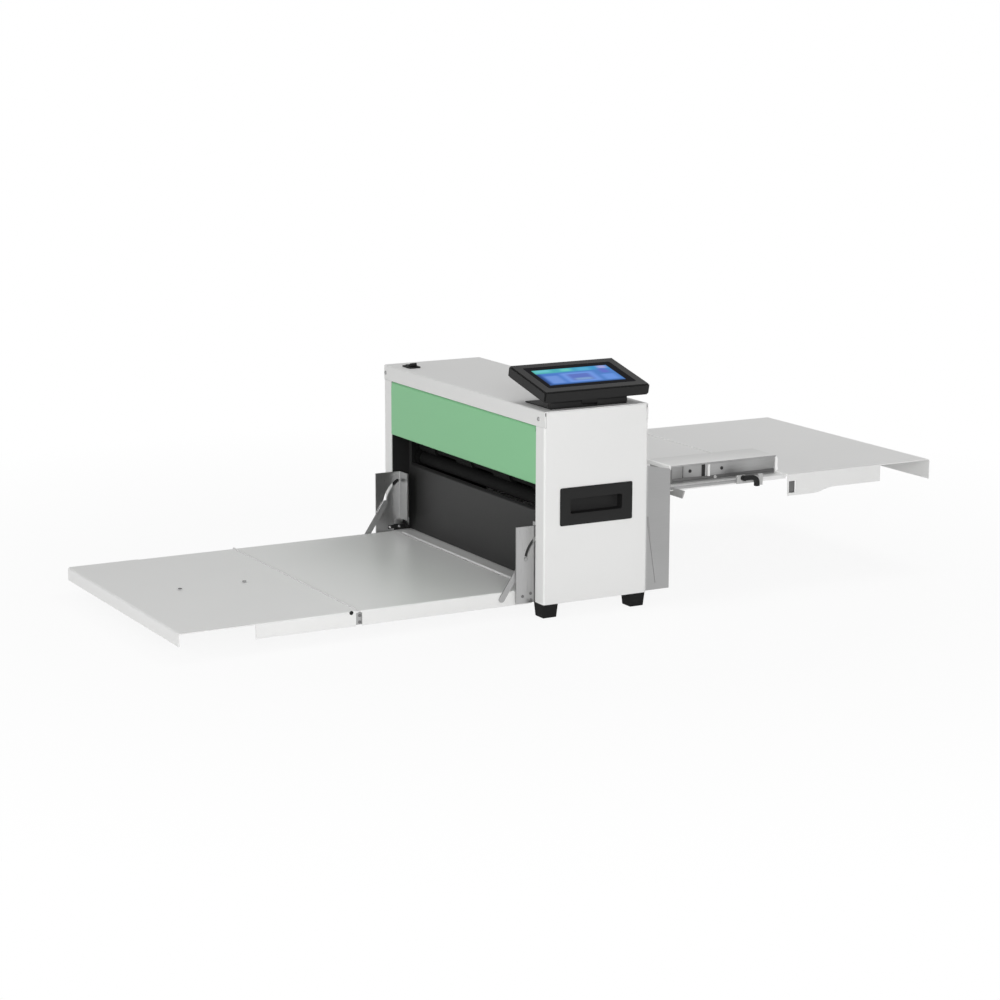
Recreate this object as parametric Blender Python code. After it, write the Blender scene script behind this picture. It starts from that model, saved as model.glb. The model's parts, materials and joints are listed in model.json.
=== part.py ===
# Paper creasing machine: a counter-top machine with a high in-feed table and a low out-feed table.
# Frame: X along the body, -Y towards the delivery side, +Z up, origin on the floor under the body's centre.

import math

import bmesh
import bpy
from mathutils import Matrix, Vector

# Driving dimensions, in metres
BODY_LENGTH = 0.590
BODY_DEPTH = 0.200
BODY_TOP = 0.349
FOOT_HEIGHT = 0.024
TABLE_REACH = 0.730
PAPER_HEIGHT = 0.192
DELIVERY_HEIGHT = 0.045
GAP = 0.0003
OVERRUN = 0.002

# Sheet metal
PANEL = 0.0015
PLATE = 0.0025
PAN_SHEET = 0.002
FRAME_SHEET = 0.003
BEND_RADIUS = 0.0015
BEND_STEPS = 3
HEM = 0.008

# Body layout
END_BAY = 0.030
RETURN_WIDTH = 0.028
BAND_HEIGHT = 0.027
PAN_WALL = 0.020
LEDGE = 0.046
FRAME_FOOT = 0.020
HALF_LENGTH = BODY_LENGTH / 2
HALF_DEPTH = BODY_DEPTH / 2
FRAME_INSIDE = HALF_LENGTH - END_BAY
FRAME_OUTSIDE = FRAME_INSIDE + FRAME_SHEET
OPENING_HALF = HALF_LENGTH - RETURN_WIDTH
INNER_DEPTH = HALF_DEPTH - PANEL - GAP
BAND_BOTTOM = BODY_TOP - BAND_HEIGHT
LID_UNDERSIDE = BODY_TOP - PANEL - GAP
PAN_FLOOR = FOOT_HEIGHT + PAN_SHEET
LEDGE_TOP = FOOT_HEIGHT + PAN_WALL

# Front of the body
COVER_BOTTOM = 0.223
COVER_LIP = 0.008
EYE_RADIUS = 0.0047
ROD_RADIUS = 0.002
EYE_Y = -HALF_DEPTH + EYE_RADIUS
EYE_Z = BAND_BOTTOM - GAP - EYE_RADIUS
CHUTE_RECESS = 0.035
CHUTE_TOP = 0.165
CHUTE_LIP = 0.007
CHUTE_LIP_RISE = 0.003
CHUTE_FOOT = 0.012
CHUTE_POST = 0.008
CHUTE_POST_TOP = 0.222

# Rear of the body
REAR_SLOT_TOP = 0.205
REAR_LIP = 0.008
INLET_WIDTH = 0.027
INLET_HEIGHT = 0.020
INLET_RIM = 0.003
INLET_DEPTH = 0.030
INLET_WALL = 0.0015
SOCKET_DEPTH = 0.016
SOCKET_PIN = 0.0015
SOCKET_PIN_LENGTH = 0.010
SOCKET_PIN_PITCH = 0.007
INLET_INSET = 0.095
INLET_RISE = 0.046

# Handle cups in the end covers
CUP_RIM_LENGTH = 0.140
CUP_RIM_HEIGHT = 0.064
CUP_POCKET_LENGTH = 0.100
CUP_POCKET_HEIGHT = 0.025
CUP_WALL = 0.002
CUP_RIM_SHEET = 0.0012
CUP_DEPTH = 0.017
CUP_CORNER = 0.003
CUP_CENTRE_Z = 0.187

# Feet
FOOT_TOP_WIDTH = 0.030
FOOT_BASE_WIDTH = 0.026
FOOT_INSET = 0.003
FOOT_HOLE = 0.006
FOOT_HOLE_DEPTH = 0.008

# Rollers and their drive
ROLLER_RADIUS = 0.012
ROLLER_SETBACK = 0.027
ROLLER_HALF = FRAME_INSIDE - ROLLER_SETBACK
ROLLER_NECK = 0.008
ROLLER_BAND = 0.060
ROLLER_BANDS = 4
ROLLER_SHAFT = 0.004
BEARING_BOSS = 0.004
BEARING_PROUD = 0.002
INFEED_ROLLER_INSET = 0.040
OUTFEED_ROLLER_INSET = 0.055
ROLLER_GEAR_TEETH = 24
ROLLER_GEAR_WIDTH = 0.008
ROLLER_GEAR_INSET = 0.007
PULLEY_RADIUS = 0.010
PULLEY_FLANGE = 0.0018
PULLEY_FLANGE_SHEET = 0.0008
MOTOR_PULLEY_RADIUS = 0.0065
BELT_WIDTH = 0.004
BELT_THICKNESS = 0.0012
BELT_SIDE_PLAY = 0.0003
BELT_STANDOFF = 0.0034
FEED_MOTOR_SIZE = 0.056
FEED_MOTOR_CORNER = 0.006
FEED_MOTOR_LENGTH = 0.060
FEED_MOTOR_Y = 0.020
FEED_MOTOR_Z = 0.095
MOTOR_SHAFT = 0.003
MOTOR_BORE_DEPTH = 0.010

# Creasing mechanism
CREASE_Y = 0.010
BED_FRONT_CLEAR = 0.025
BED_BACK_CLEAR = 0.020
BED_FRONT = HALF_DEPTH - OUTFEED_ROLLER_INSET + CREASE_Y - BED_FRONT_CLEAR
BED_BACK = HALF_DEPTH - INFEED_ROLLER_INSET - CREASE_Y - BED_BACK_CLEAR
BED_DEPTH = 0.025
BED_BELOW_PAPER = 0.002
BED_WEB = 0.005
BED_FOOT = 0.004
MATRIX_WIDTH = 0.012
MATRIX_HEIGHT = 0.0043
CHANNEL_WIDTH = 0.0024
CHANNEL_DEPTH = 0.0016
BEAM_SETBACK = 0.025
BEAM_HALF = FRAME_INSIDE - BEAM_SETBACK
BEAM_THICKNESS = 0.020
BEAM_BOTTOM = 0.204
BEAM_HEIGHT = 0.032
TONGUE_WIDTH = 0.010
TONGUE_HEIGHT = 0.024
BLADE_THICKNESS = 0.001
BLADE_LIFT = 0.0025
BLADE_HOLD = 0.008
BLADE_SETBACK = 0.029
BLADE_HALF = FRAME_INSIDE - BLADE_SETBACK
CREASE_STROKE = 0.005
CAM_Z = 0.270
CAM_SHAFT = 0.005
CAM_RADIUS = 0.008
CAM_WIDTH = 0.010
CAM_PLAY = 0.0009
CAM_SETBACK = 0.035
CAM_X = FRAME_INSIDE - CAM_SETBACK
YOKE_THICKNESS = 0.008
YOKE_WALL = 0.005
YOKE_SIDE_PLAY = 0.0015
CAM_GEAR_TEETH = 48
CREASE_PINION_TEETH = 22
CREASE_MODULE = 0.00125
CREASE_GEAR_WIDTH = 0.007
CREASE_GEAR_STANDOFF = 0.0015
CREASE_MOTOR_RISE = 0.020
CREASE_MOTOR_SIZE = 0.042
CREASE_MOTOR_CORNER = 0.004
CREASE_GEARBOX_LENGTH = 0.022
CREASE_MOTOR_CAN = 0.018
CREASE_CAN_LENGTH = 0.042

# Electrical parts on the pan floor
SUPPLY_LENGTH = 0.110
SUPPLY_WIDTH = 0.062
SUPPLY_HEIGHT = 0.036
SUPPLY_SHARE = 0.19
SUPPLY_X = FRAME_INSIDE * SUPPLY_SHARE
SUPPLY_Y = 0.018
BOARD_LENGTH = 0.130
BOARD_WIDTH = 0.080
BOARD_SHEET = 0.0016
BOARD_STANDOFF = 0.010
BOARD_POST = 0.003
BOARD_POST_INSET = 0.006
BOARD_SHARE = 0.566
BOARD_X = -FRAME_INSIDE * BOARD_SHARE
BOARD_Y = -0.010
HEATSINK_LENGTH = 0.040
HEATSINK_WIDTH = 0.030
HEATSINK_HEIGHT = 0.016
HEATSINK_FINS = 5
CONNECTOR_LENGTH = 0.030
CONNECTOR_WIDTH = 0.010
CONNECTOR_HEIGHT = 0.011
BOARD_EDGE = 0.012

# Rocker switch on the lid
SWITCH_INSET = 0.055
SWITCH_X = SWITCH_INSET - HALF_LENGTH
SWITCH_Y = -0.072
SWITCH_LENGTH = 0.032
SWITCH_WIDTH = 0.022
SWITCH_BEZEL = 0.0025
SWITCH_WALL = 0.0025
SWITCH_BODY_DEPTH = 0.014
SWITCH_POCKET_DEPTH = 0.010
SWITCH_CORNER = 0.002
ROCKER_PLAY = 0.0008
ROCKER_TIP = 0.006
ROCKER_WAIST = 0.0024
ROCKER_ROOT = 0.001
ROCKER_BOSS = 0.0035
ROCKER_AXLE = 0.0012
ROCKER_TILT = math.radians(13)

# Touch screen
SCREEN_WIDTH = 0.202
SCREEN_LENGTH = 0.127
SCREEN_THICKNESS = 0.0195
SCREEN_TILT = math.radians(13)
SCREEN_EDGE = 0.0025
SCREEN_EDGE_STEPS = 2
SCREEN_Y = 0.002
GLASS_WIDTH = 0.168
GLASS_LENGTH = 0.092
GLASS_THICKNESS = 0.0014
GLASS_CORNER = 0.003
BASE_SHEET = 0.002
BASE_LENGTH = 0.086
BASE_WIDTH = 0.146
BASE_INSET = 0.014
BASE_Y = -0.007
HINGE_BARREL = 0.006
HINGE_CLEAR = 0.001
HINGE_RISE = 0.009
HINGE_PIN = 0.002
HINGE_INSET = 0.019
HINGE_MIDDLE = 0.030

# Out-feed table
TABLE_SHEET = 0.0015
OUTFEED_SIDE_CLEAR = 0.007
OUTFEED_FLANGE = 0.0245
OUTFEED_END_FLANGE = 0.022
OUTFEED_SEAM_OUT = 0.320
OUTFEED_SEAM = HALF_DEPTH + OUTFEED_SEAM_OUT
OUTFEED_FLANGE_END = 0.601
OUTFEED_NOSE = 0.0015
OUTFEED_HINGE_OUT = 0.007
OUTFEED_HINGE_DROP = 0.0055
OUTFEED_PIN = 0.0025
SEAM_BARREL = 0.002
SEAM_ROD = 0.001
SEAM_PLAY = 0.0003
SEAM_KNUCKLES = 5
SEAM_WEB = 0.0013
FLANGE_SETBACK = 0.0025

# Front brackets and stay arms
BRACKET_OUT = 0.035
BRACKET_BACK = 0.017
BRACKET_TOP = 0.154
BRACKET_FLANGE = 0.032
BRACKET_FLANGE_BOTTOM = 0.066
ARM_SHEET = 0.0025
ARM_SIDE_PLAY = 0.001
ARM_HALF_WIDTH = 0.005
ARM_REACH_Y = 0.043
ARM_REACH_Z = 0.0645
ARM_FOOT_OUT = 0.053
ARM_FOOT_DROP = 0.006
ARM_RIVET = 0.002
ARM_PIN = 0.0026
ARM_PIN_PLAY = 0.0006
ARM_TURN_SHARE = 0.143
OUTFEED_FOLD = math.radians(55)
SLOT_STEPS = 8

# In-feed table
INFEED_DROP = 0.002
INFEED_SIDE_INSET = 0.041
INFEED_HALF = HALF_LENGTH - INFEED_SIDE_INSET
INFEED_HEM = 0.006
INFEED_LAP = 0.025
INFEED_INSIDE = HALF_DEPTH - INFEED_LAP
INFEED_SEAM_OUT = 0.315
INFEED_SEAM = HALF_DEPTH + INFEED_SEAM_OUT
INFEED_FLANGE = 0.038
INFEED_FLANGE_RISE = 0.008
INFEED_FLANGE_END = 0.619
INFEED_WAVE_START = 0.055
INFEED_WAVE_LENGTH = 0.046
INFEED_WAVE_STEPS = 8
INFEED_END_FLANGE = 0.036
INFEED_HOLE_START = 0.0045
INFEED_HOLE_LENGTH = 0.0155
INFEED_HOLE_TOP = 0.012
INFEED_HOLE_HEIGHT = 0.021

# Rear brackets and the cross bar under the in-feed table
REAR_BRACKET_INSET = 0.005
REAR_BRACKET_OUT = 0.049
REAR_BRACKET_SHEET = 0.002
REAR_BRACKET_TOP = 0.241
REAR_BRACKET_FALL = 0.010
REAR_BRACKET_BOTTOM = 0.025
REAR_BRACKET_TAB_FROM = 0.004
REAR_BRACKET_TAB_REACH = 0.046
BAR_FROM_BODY = 0.078
BAR_LEG = 0.012
BAR_SHEET = 0.002
BAR_END_INSET = 0.006
BAR_END_SLANT = 0.007
BAR_END_NECK = 0.001
BAR_END_HEIGHT = 0.012

# Side guide
GUIDE_SIDE_INSET = 0.024
GUIDE_BREADTH = 0.075
GUIDE_OUTER_X = INFEED_HALF - GUIDE_SIDE_INSET
GUIDE_INNER_X = GUIDE_OUTER_X - GUIDE_BREADTH
GUIDE_WALL = 0.0025
GUIDE_START = 0.090
GUIDE_LENGTH = 0.218
GUIDE_HEIGHT = 0.0317
GUIDE_CAP = 0.003
GUIDE_CAP_LIP = 0.002
GUIDE_TRAVEL_IN = 0.120
GUIDE_TRAVEL_OUT = 0.020
GUIDE_FOOT_OFFSET = 0.110
GUIDE_STEM_WIDTH = 0.008
GUIDE_STEM_INSET = 0.025
GUIDE_STEM_LENGTH = 0.025
GUIDE_SHOE_WIDTH = 0.030
GUIDE_SHOE_EXTRA = 0.005
GUIDE_SHOE_SHEET = 0.004
GUIDE_SLOT_PLAY = 0.0005
GUIDE_SLOT_END = 0.002
GUIDE_NOTCH_FROM = 0.063
GUIDE_NOTCH_WIDTH = 0.0075
GUIDE_NOTCH_DEPTH = 0.006
GUIDE_NOTCH_FLOOR = 0.006
GUIDE_SEAM_FROM = 0.024
GUIDE_SEAM_WIDTH = 0.001
GUIDE_SEAM_DEPTH = 0.0015

# Clamp lever on the in-feed table's edge
CLAMP_FROM_BODY = 0.208
CLAMP_PLATE = 0.002
CLAMP_LENGTH = 0.054
CLAMP_EAR = 0.016
CLAMP_EAR_RISE = 0.009
CLAMP_TAB = 0.009
CLAMP_TAB_DROP = 0.012
CLAMP_TAB_RISE = 0.008
CLAMP_PIN = 0.002
CLAMP_PIN_IN = 0.012
CLAMP_PIN_UP = 0.004
LEVER_WIDTH = 0.007
LEVER_HALF = 0.0038
LEVER_BOSS = 0.0048
LEVER_REACH = 0.017
LEVER_BEND = 0.010
LEVER_DROP = 0.006
LEVER_STEPS = 5

# Facets round a turned piece
ROUND = 20
ROUND_FINE = 12
CORNER_STEPS = 3

# Places worked out from the sizes above
INFEED_ROLLER_Y = HALF_DEPTH - INFEED_ROLLER_INSET
OUTFEED_ROLLER_Y = -HALF_DEPTH + OUTFEED_ROLLER_INSET
LOWER_ROLLER_Z = PAPER_HEIGHT - ROLLER_RADIUS - GAP / 2
UPPER_ROLLER_Z = PAPER_HEIGHT + ROLLER_RADIUS + GAP / 2
CAM_THROW = CREASE_STROKE / 2
CREASE_CENTRES = CREASE_MODULE * (CAM_GEAR_TEETH + CREASE_PINION_TEETH) / 2
CREASE_MOTOR_Y = CREASE_Y + math.sqrt(CREASE_CENTRES**2 - CREASE_MOTOR_RISE**2)
CREASE_MOTOR_Z = CAM_Z + CREASE_MOTOR_RISE
BED_TOP = PAPER_HEIGHT - BED_BELOW_PAPER
BEAM_TOP = BEAM_BOTTOM + BEAM_HEIGHT
BEAM_END = FRAME_OUTSIDE - GAP
BELT_FACE = FRAME_OUTSIDE + BELT_STANDOFF
PULLEY_START = BELT_FACE - BELT_SIDE_PLAY - PULLEY_FLANGE_SHEET
PULLEY_END = BELT_FACE + BELT_WIDTH + BELT_SIDE_PLAY + PULLEY_FLANGE_SHEET
OUTFEED_HALF = FRAME_INSIDE - OUTFEED_SIDE_CLEAR
OUTFEED_INNER = -HALF_DEPTH - OUTFEED_NOSE
OUTFEED_HINGE_Y = -HALF_DEPTH - OUTFEED_HINGE_OUT
OUTFEED_HINGE_Z = DELIVERY_HEIGHT - OUTFEED_HINGE_DROP
ARM_FOOT_Y = OUTFEED_HINGE_Y - ARM_FOOT_OUT
ARM_FOOT_Z = OUTFEED_HINGE_Z - ARM_FOOT_DROP
BRACKET_OUTER_X = FRAME_INSIDE - GAP
BRACKET_INNER_X = BRACKET_OUTER_X - PLATE
ARM_INNER_X = OUTFEED_HALF + ARM_SIDE_PLAY
INFEED_TOP = PAPER_HEIGHT - INFEED_DROP
INFEED_HEM_BOTTOM = INFEED_TOP - INFEED_HEM
REAR_SLOT_FLOOR = INFEED_HEM_BOTTOM - GAP
GUIDE_Y = HALF_DEPTH + GUIDE_START
GUIDE_STEM_Y = GUIDE_Y + GUIDE_FOOT_OFFSET
HINGE_X = HALF_LENGTH - HINGE_INSET
HINGE_Z = BODY_TOP + HINGE_RISE
CLAMP_Y = HALF_DEPTH + CLAMP_FROM_BODY
CLAMP_PIN_Y = CLAMP_Y + CLAMP_PIN_IN
CLAMP_PIN_Z = INFEED_TOP + CLAMP_PIN_UP
CLAMP_OUTER_X = INFEED_HALF + GAP + CLAMP_PLATE
SWITCH_AXIS_Z = BODY_TOP + GAP + SWITCH_BEZEL
RIGHT = 1
LEFT = -1
SIDE_NAMES = {RIGHT: "right", LEFT: "left"}


# Scene and materials

def clear_scene():
    for item in list(bpy.data.objects):
        bpy.data.objects.remove(item, do_unlink=True)


def material(name, color, roughness, metallic=0.0):
    """A Principled material with one colour, roughness and metallic value."""
    made = bpy.data.materials.new(name)
    made.use_nodes = True
    shader = made.node_tree.nodes["Principled BSDF"]
    shader.inputs["Base Color"].default_value = (*color, 1.0)
    shader.inputs["Roughness"].default_value = roughness
    shader.inputs["Metallic"].default_value = metallic
    made.diffuse_color = (*color, 1.0)
    return made


def make_materials():
    return {
        "white_paint": material("white_paint", (0.76, 0.76, 0.75), 0.5),
        "green_paint": material("green_paint", (0.24, 0.51, 0.29), 0.45),
        "table_paint": material("table_paint", (0.72, 0.72, 0.715), 0.5),
        "steel": material("steel", (0.42, 0.42, 0.42), 0.42, 1.0),
        "bright_steel": material("bright_steel", (0.60, 0.60, 0.60), 0.25, 1.0),
        "dark_paint": material("dark_paint", (0.04, 0.04, 0.04), 0.5),
        "black_plastic": material("black_plastic", (0.025, 0.025, 0.025), 0.5),
        "rubber": material("rubber", (0.02, 0.02, 0.02), 0.85),
        "aluminium": material("aluminium", (0.55, 0.56, 0.57), 0.38, 1.0),
        "motor_black": material("motor_black", (0.03, 0.03, 0.03), 0.4),
        "gear_brass": material("gear_brass", (0.62, 0.46, 0.20), 0.35, 1.0),
        "board_green": material("board_green", (0.03, 0.16, 0.06), 0.45),
        "screen_glass": material("screen_glass", (0.05, 0.12, 0.35), 0.12),
    }


# Solids

AXIS_PLACES = {
    "X": lambda u, v, w: (w, u, v),
    "Y": lambda u, v, w: (u, w, v),
    "Z": lambda u, v, w: (u, v, w),
}


def finish_mesh(name, mesh, smooth=False):
    """Turn a bmesh into an object with outward faces."""
    bmesh.ops.recalc_face_normals(mesh, faces=mesh.faces)
    data = bpy.data.meshes.new(name)
    mesh.to_mesh(data)
    mesh.free()
    if smooth:
        data.shade_smooth()
        data.set_sharp_from_angle(angle=math.radians(35))
    made = bpy.data.objects.new(name, data)
    bpy.context.scene.collection.objects.link(made)
    return made


def prism(axis, outline, low, high, name="prism"):
    """A closed outline pushed along an axis. The outline is (Y, Z), (X, Z) or (X, Y)."""
    place = AXIS_PLACES[axis]
    mesh = bmesh.new()
    near = [mesh.verts.new(place(u, v, low)) for u, v in outline]
    far = [mesh.verts.new(place(u, v, high)) for u, v in outline]
    mesh.faces.new(near)
    mesh.faces.new(list(reversed(far)))
    for index in range(len(outline)):
        after = (index + 1) % len(outline)
        mesh.faces.new((near[after], near[index], far[index], far[after]))
    return finish_mesh(name, mesh)


def box(low, high, name="box"):
    outline = [(low[0], low[1]), (high[0], low[1]), (high[0], high[1]), (low[0], high[1])]
    return prism("Z", outline, low[2], high[2], name)


def turned(axis, centre, profile, steps=ROUND, name="turned"):
    """A profile of (place along the axis, radius) spun once about the axis through centre."""
    place = AXIS_PLACES[axis]
    mesh = bmesh.new()
    line = [(profile[0][0], 0)] + list(profile) + [(profile[-1][0], 0)]
    verts = [mesh.verts.new(place(centre[0] + radius, centre[1], along)) for along, radius in line]
    edges = [mesh.edges.new(pair) for pair in zip(verts, verts[1:])]
    direction = Vector(place(0, 0, 1))
    middle = Vector(place(centre[0], centre[1], 0))
    bmesh.ops.spin(mesh, geom=verts + edges, cent=middle, axis=direction, angle=math.tau, steps=steps)
    bmesh.ops.remove_doubles(mesh, verts=mesh.verts, dist=GAP / 30)
    return finish_mesh(name, mesh, smooth=True)


def rod(axis, centre, radius, low, high, steps=ROUND, name="rod"):
    return turned(axis, centre, [(low, radius), (high, radius)], steps, name)


def weld(data):
    """Merge corners that fall on one another and drop faces without area."""
    mesh = bmesh.new()
    mesh.from_mesh(data)
    bmesh.ops.remove_doubles(mesh, verts=mesh.verts, dist=GAP / 60)
    bmesh.ops.dissolve_degenerate(mesh, dist=GAP / 60, edges=mesh.edges)
    mesh.to_mesh(data)
    mesh.free()


def boolean(target, tool, operation):
    """Join or cut two objects at once and drop the tool."""
    modifier = target.modifiers.new(operation, "BOOLEAN")
    modifier.operation = operation
    modifier.object = tool
    modifier.solver = "EXACT"
    bpy.context.view_layer.update()
    result = bpy.data.meshes.new_from_object(target.evaluated_get(bpy.context.evaluated_depsgraph_get()))
    target.modifiers.remove(modifier)
    weld(result)
    target.data = result
    bpy.data.objects.remove(tool, do_unlink=True)
    return target


def cut(target, *tools):
    for tool in tools:
        boolean(target, tool, "DIFFERENCE")
    return target


def join(target, *tools):
    for tool in tools:
        boolean(target, tool, "UNION")
    return target


def piece(made, name, paint, origin=(0, 0, 0)):
    """Name a finished solid, give it its material and put its origin on its joint or seat."""
    made.name = name
    made.data.name = name
    made.data.transform(Matrix.Translation(-Vector(origin)))
    made.location = origin
    made.data.materials.clear()
    made.data.materials.append(paint)
    return made


# Outlines

def rectangle(u_low, v_low, u_high, v_high):
    return [(u_low, v_low), (u_high, v_low), (u_high, v_high), (u_low, v_high)]


def arc(centre, radius, start, end, steps):
    """Points on an arc, both ends included. Angles in radians."""
    turn = [start + (end - start) * index / steps for index in range(steps + 1)]
    return [(centre[0] + radius * math.cos(a), centre[1] + radius * math.sin(a)) for a in turn]


def round_rectangle(centre, width, height, radius, steps=CORNER_STEPS):
    points = []
    corners = ((1, 1), (-1, 1), (-1, -1), (1, -1))
    for number, (side_u, side_v) in enumerate(corners):
        middle_u = centre[0] + side_u * (width / 2 - radius)
        middle_v = centre[1] + side_v * (height / 2 - radius)
        start = number * math.pi / 2
        points += arc((middle_u, middle_v), radius, start, start + math.pi / 2, steps)
    return points


def unit(vector):
    length = math.hypot(vector[0], vector[1])
    return vector[0] / length, vector[1] / length


def rounded_line(points, radii, steps):
    """An open line of corners with each inner corner rounded by its own radius."""
    line = [points[0]]
    for before, corner, after, radius in zip(points, points[1:], points[2:], radii):
        towards = unit((before[0] - corner[0], before[1] - corner[1]))
        away = unit((after[0] - corner[0], after[1] - corner[1]))
        half = math.acos(max(-1, min(1, towards[0] * away[0] + towards[1] * away[1]))) / 2
        middle = unit((towards[0] + away[0], towards[1] + away[1]))
        reach = radius / math.sin(half)
        centre = (corner[0] + middle[0] * reach, corner[1] + middle[1] * reach)
        cross = towards[0] * away[1] - towards[1] * away[0]
        sweep = math.pi - 2 * half
        middle_angle = math.atan2(-middle[1], -middle[0])
        turn = -sweep / 2 if cross > 0 else sweep / 2
        line += arc(centre, radius, middle_angle - turn, middle_angle + turn, steps)
    return line + [points[-1]]


def folded_sheet(points, thickness, radius=BEND_RADIUS, steps=BEND_STEPS):
    """The closed outline of a sheet bent along a line. Positive thickness lies left of the line."""
    sheet = abs(thickness)
    side = 1 if thickness > 0 else -1
    headings = [unit((b[0] - a[0], b[1] - a[1])) for a, b in zip(points, points[1:])]
    normals = [(-heading[1] * side, heading[0] * side) for heading in headings]
    inner = [(points[0][0] + normals[0][0] * sheet, points[0][1] + normals[0][1] * sheet)]
    line_radii = []
    inner_radii = []
    for index in range(1, len(points) - 1):
        first, second = normals[index - 1], normals[index]
        share = sheet / (1 + first[0] * second[0] + first[1] * second[1])
        inner.append((points[index][0] + (first[0] + second[0]) * share,
                      points[index][1] + (first[1] + second[1]) * share))
        cross = headings[index - 1][0] * headings[index][1] - headings[index - 1][1] * headings[index][0]
        turns_in = cross * side > 0
        line_radii.append(radius + sheet if turns_in else radius)
        inner_radii.append(radius if turns_in else radius + sheet)
    inner.append((points[-1][0] + normals[-1][0] * sheet, points[-1][1] + normals[-1][1] * sheet))
    outer_line = rounded_line(points, line_radii, steps)
    inner_line = rounded_line(inner, inner_radii, steps)
    return outer_line + list(reversed(inner_line))


def mirror_outline(outline, side):
    return [(side * u, v) for u, v in outline]


def band(line, half_width):
    """A closed outline of even width along an open line, with square ends."""
    left, right = [], []
    for index, point in enumerate(line):
        before = line[max(index - 1, 0)]
        after = line[min(index + 1, len(line) - 1)]
        heading = unit((after[0] - before[0], after[1] - before[1]))
        left.append((point[0] - heading[1] * half_width, point[1] + heading[0] * half_width))
        right.append((point[0] + heading[1] * half_width, point[1] - heading[0] * half_width))
    return left + list(reversed(right))


def gear_outline(centre, teeth, module, tooth_angle):
    """A spur gear with one tooth centred on tooth_angle, its flanks in shares of module and pitch."""
    pitch_radius = module * teeth / 2
    flank_shares = ((-1.15, 0.31), (0.85, 0.12))
    outline = []
    for tooth in range(teeth):
        middle = tooth_angle + math.tau * tooth / teeth
        rising = [(pitch_radius + module * height, middle - math.tau / teeth * half)
                  for height, half in flank_shares]
        falling = [(pitch_radius + module * height, middle + math.tau / teeth * half)
                   for height, half in flank_shares]
        for radius, angle in rising + list(reversed(falling)):
            outline.append((centre[0] + radius * math.cos(angle), centre[1] + radius * math.sin(angle)))
    return outline


def belt_outline(circles, offset):
    """The taut closed line round circles given counter-clockwise as (u, v, radius), grown by offset."""
    count = len(circles)
    normal_angles = []
    for index in range(count):
        u0, v0, r0 = circles[index]
        u1, v1, r1 = circles[(index + 1) % count]
        length = math.hypot(u1 - u0, v1 - v0)
        heading = math.atan2(v1 - v0, u1 - u0)
        normal_angles.append(heading - math.acos((r0 - r1) / length))
    outline = []
    for index, (u, v, radius) in enumerate(circles):
        start = normal_angles[index - 1]
        end = normal_angles[index]
        while end < start:
            end += math.tau
        outline += arc((u, v), radius + offset, start, end, ROUND_FINE)
    return outline


# Body shell

def pan_outline(clearance):
    """The pan's cross-section, grown all round by a clearance."""
    side = INNER_DEPTH + clearance
    top = LEDGE_TOP + clearance
    bottom = FOOT_HEIGHT - clearance
    path = [(-INNER_DEPTH + LEDGE + clearance, top), (-side, top), (-side, bottom), (side, bottom),
            (side, top),
            (INNER_DEPTH - HEM - clearance, top)]
    return folded_sheet(path, PAN_SHEET + 2 * clearance, BEND_RADIUS - clearance)


def base_pan(paint):
    """A tray whose walls fold in to a ledge along the front and the back."""
    half = HALF_LENGTH - PANEL - BEND_RADIUS
    piece(prism("X", pan_outline(0), -half, half), "base_pan", paint["steel"])


def foot(side, end, paint):
    """A tapered rubber foot with a screw hole from below."""
    centre_x = side * (HALF_LENGTH - FOOT_INSET - FOOT_TOP_WIDTH / 2)
    centre_y = end * (HALF_DEPTH - FOOT_TOP_WIDTH / 2)
    block = prism("Z", rectangle(-FOOT_TOP_WIDTH / 2, -FOOT_TOP_WIDTH / 2, FOOT_TOP_WIDTH / 2,
                                 FOOT_TOP_WIDTH / 2),
                  0, FOOT_HEIGHT - GAP)
    taper = FOOT_BASE_WIDTH / FOOT_TOP_WIDTH
    for vertex in block.data.vertices:
        if vertex.co.z < GAP:
            vertex.co.x *= taper
            vertex.co.y *= taper
    cut(block, rod("Z", (0, 0), FOOT_HOLE, -OVERRUN, FOOT_HOLE_DEPTH, ROUND_FINE))
    block.data.transform(Matrix.Translation((centre_x, centre_y, 0)))
    where = "front" if end < 0 else "rear"
    piece(block, f"foot_{where}_{SIDE_NAMES[side]}", paint["rubber"], (centre_x, centre_y, 0))


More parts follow.
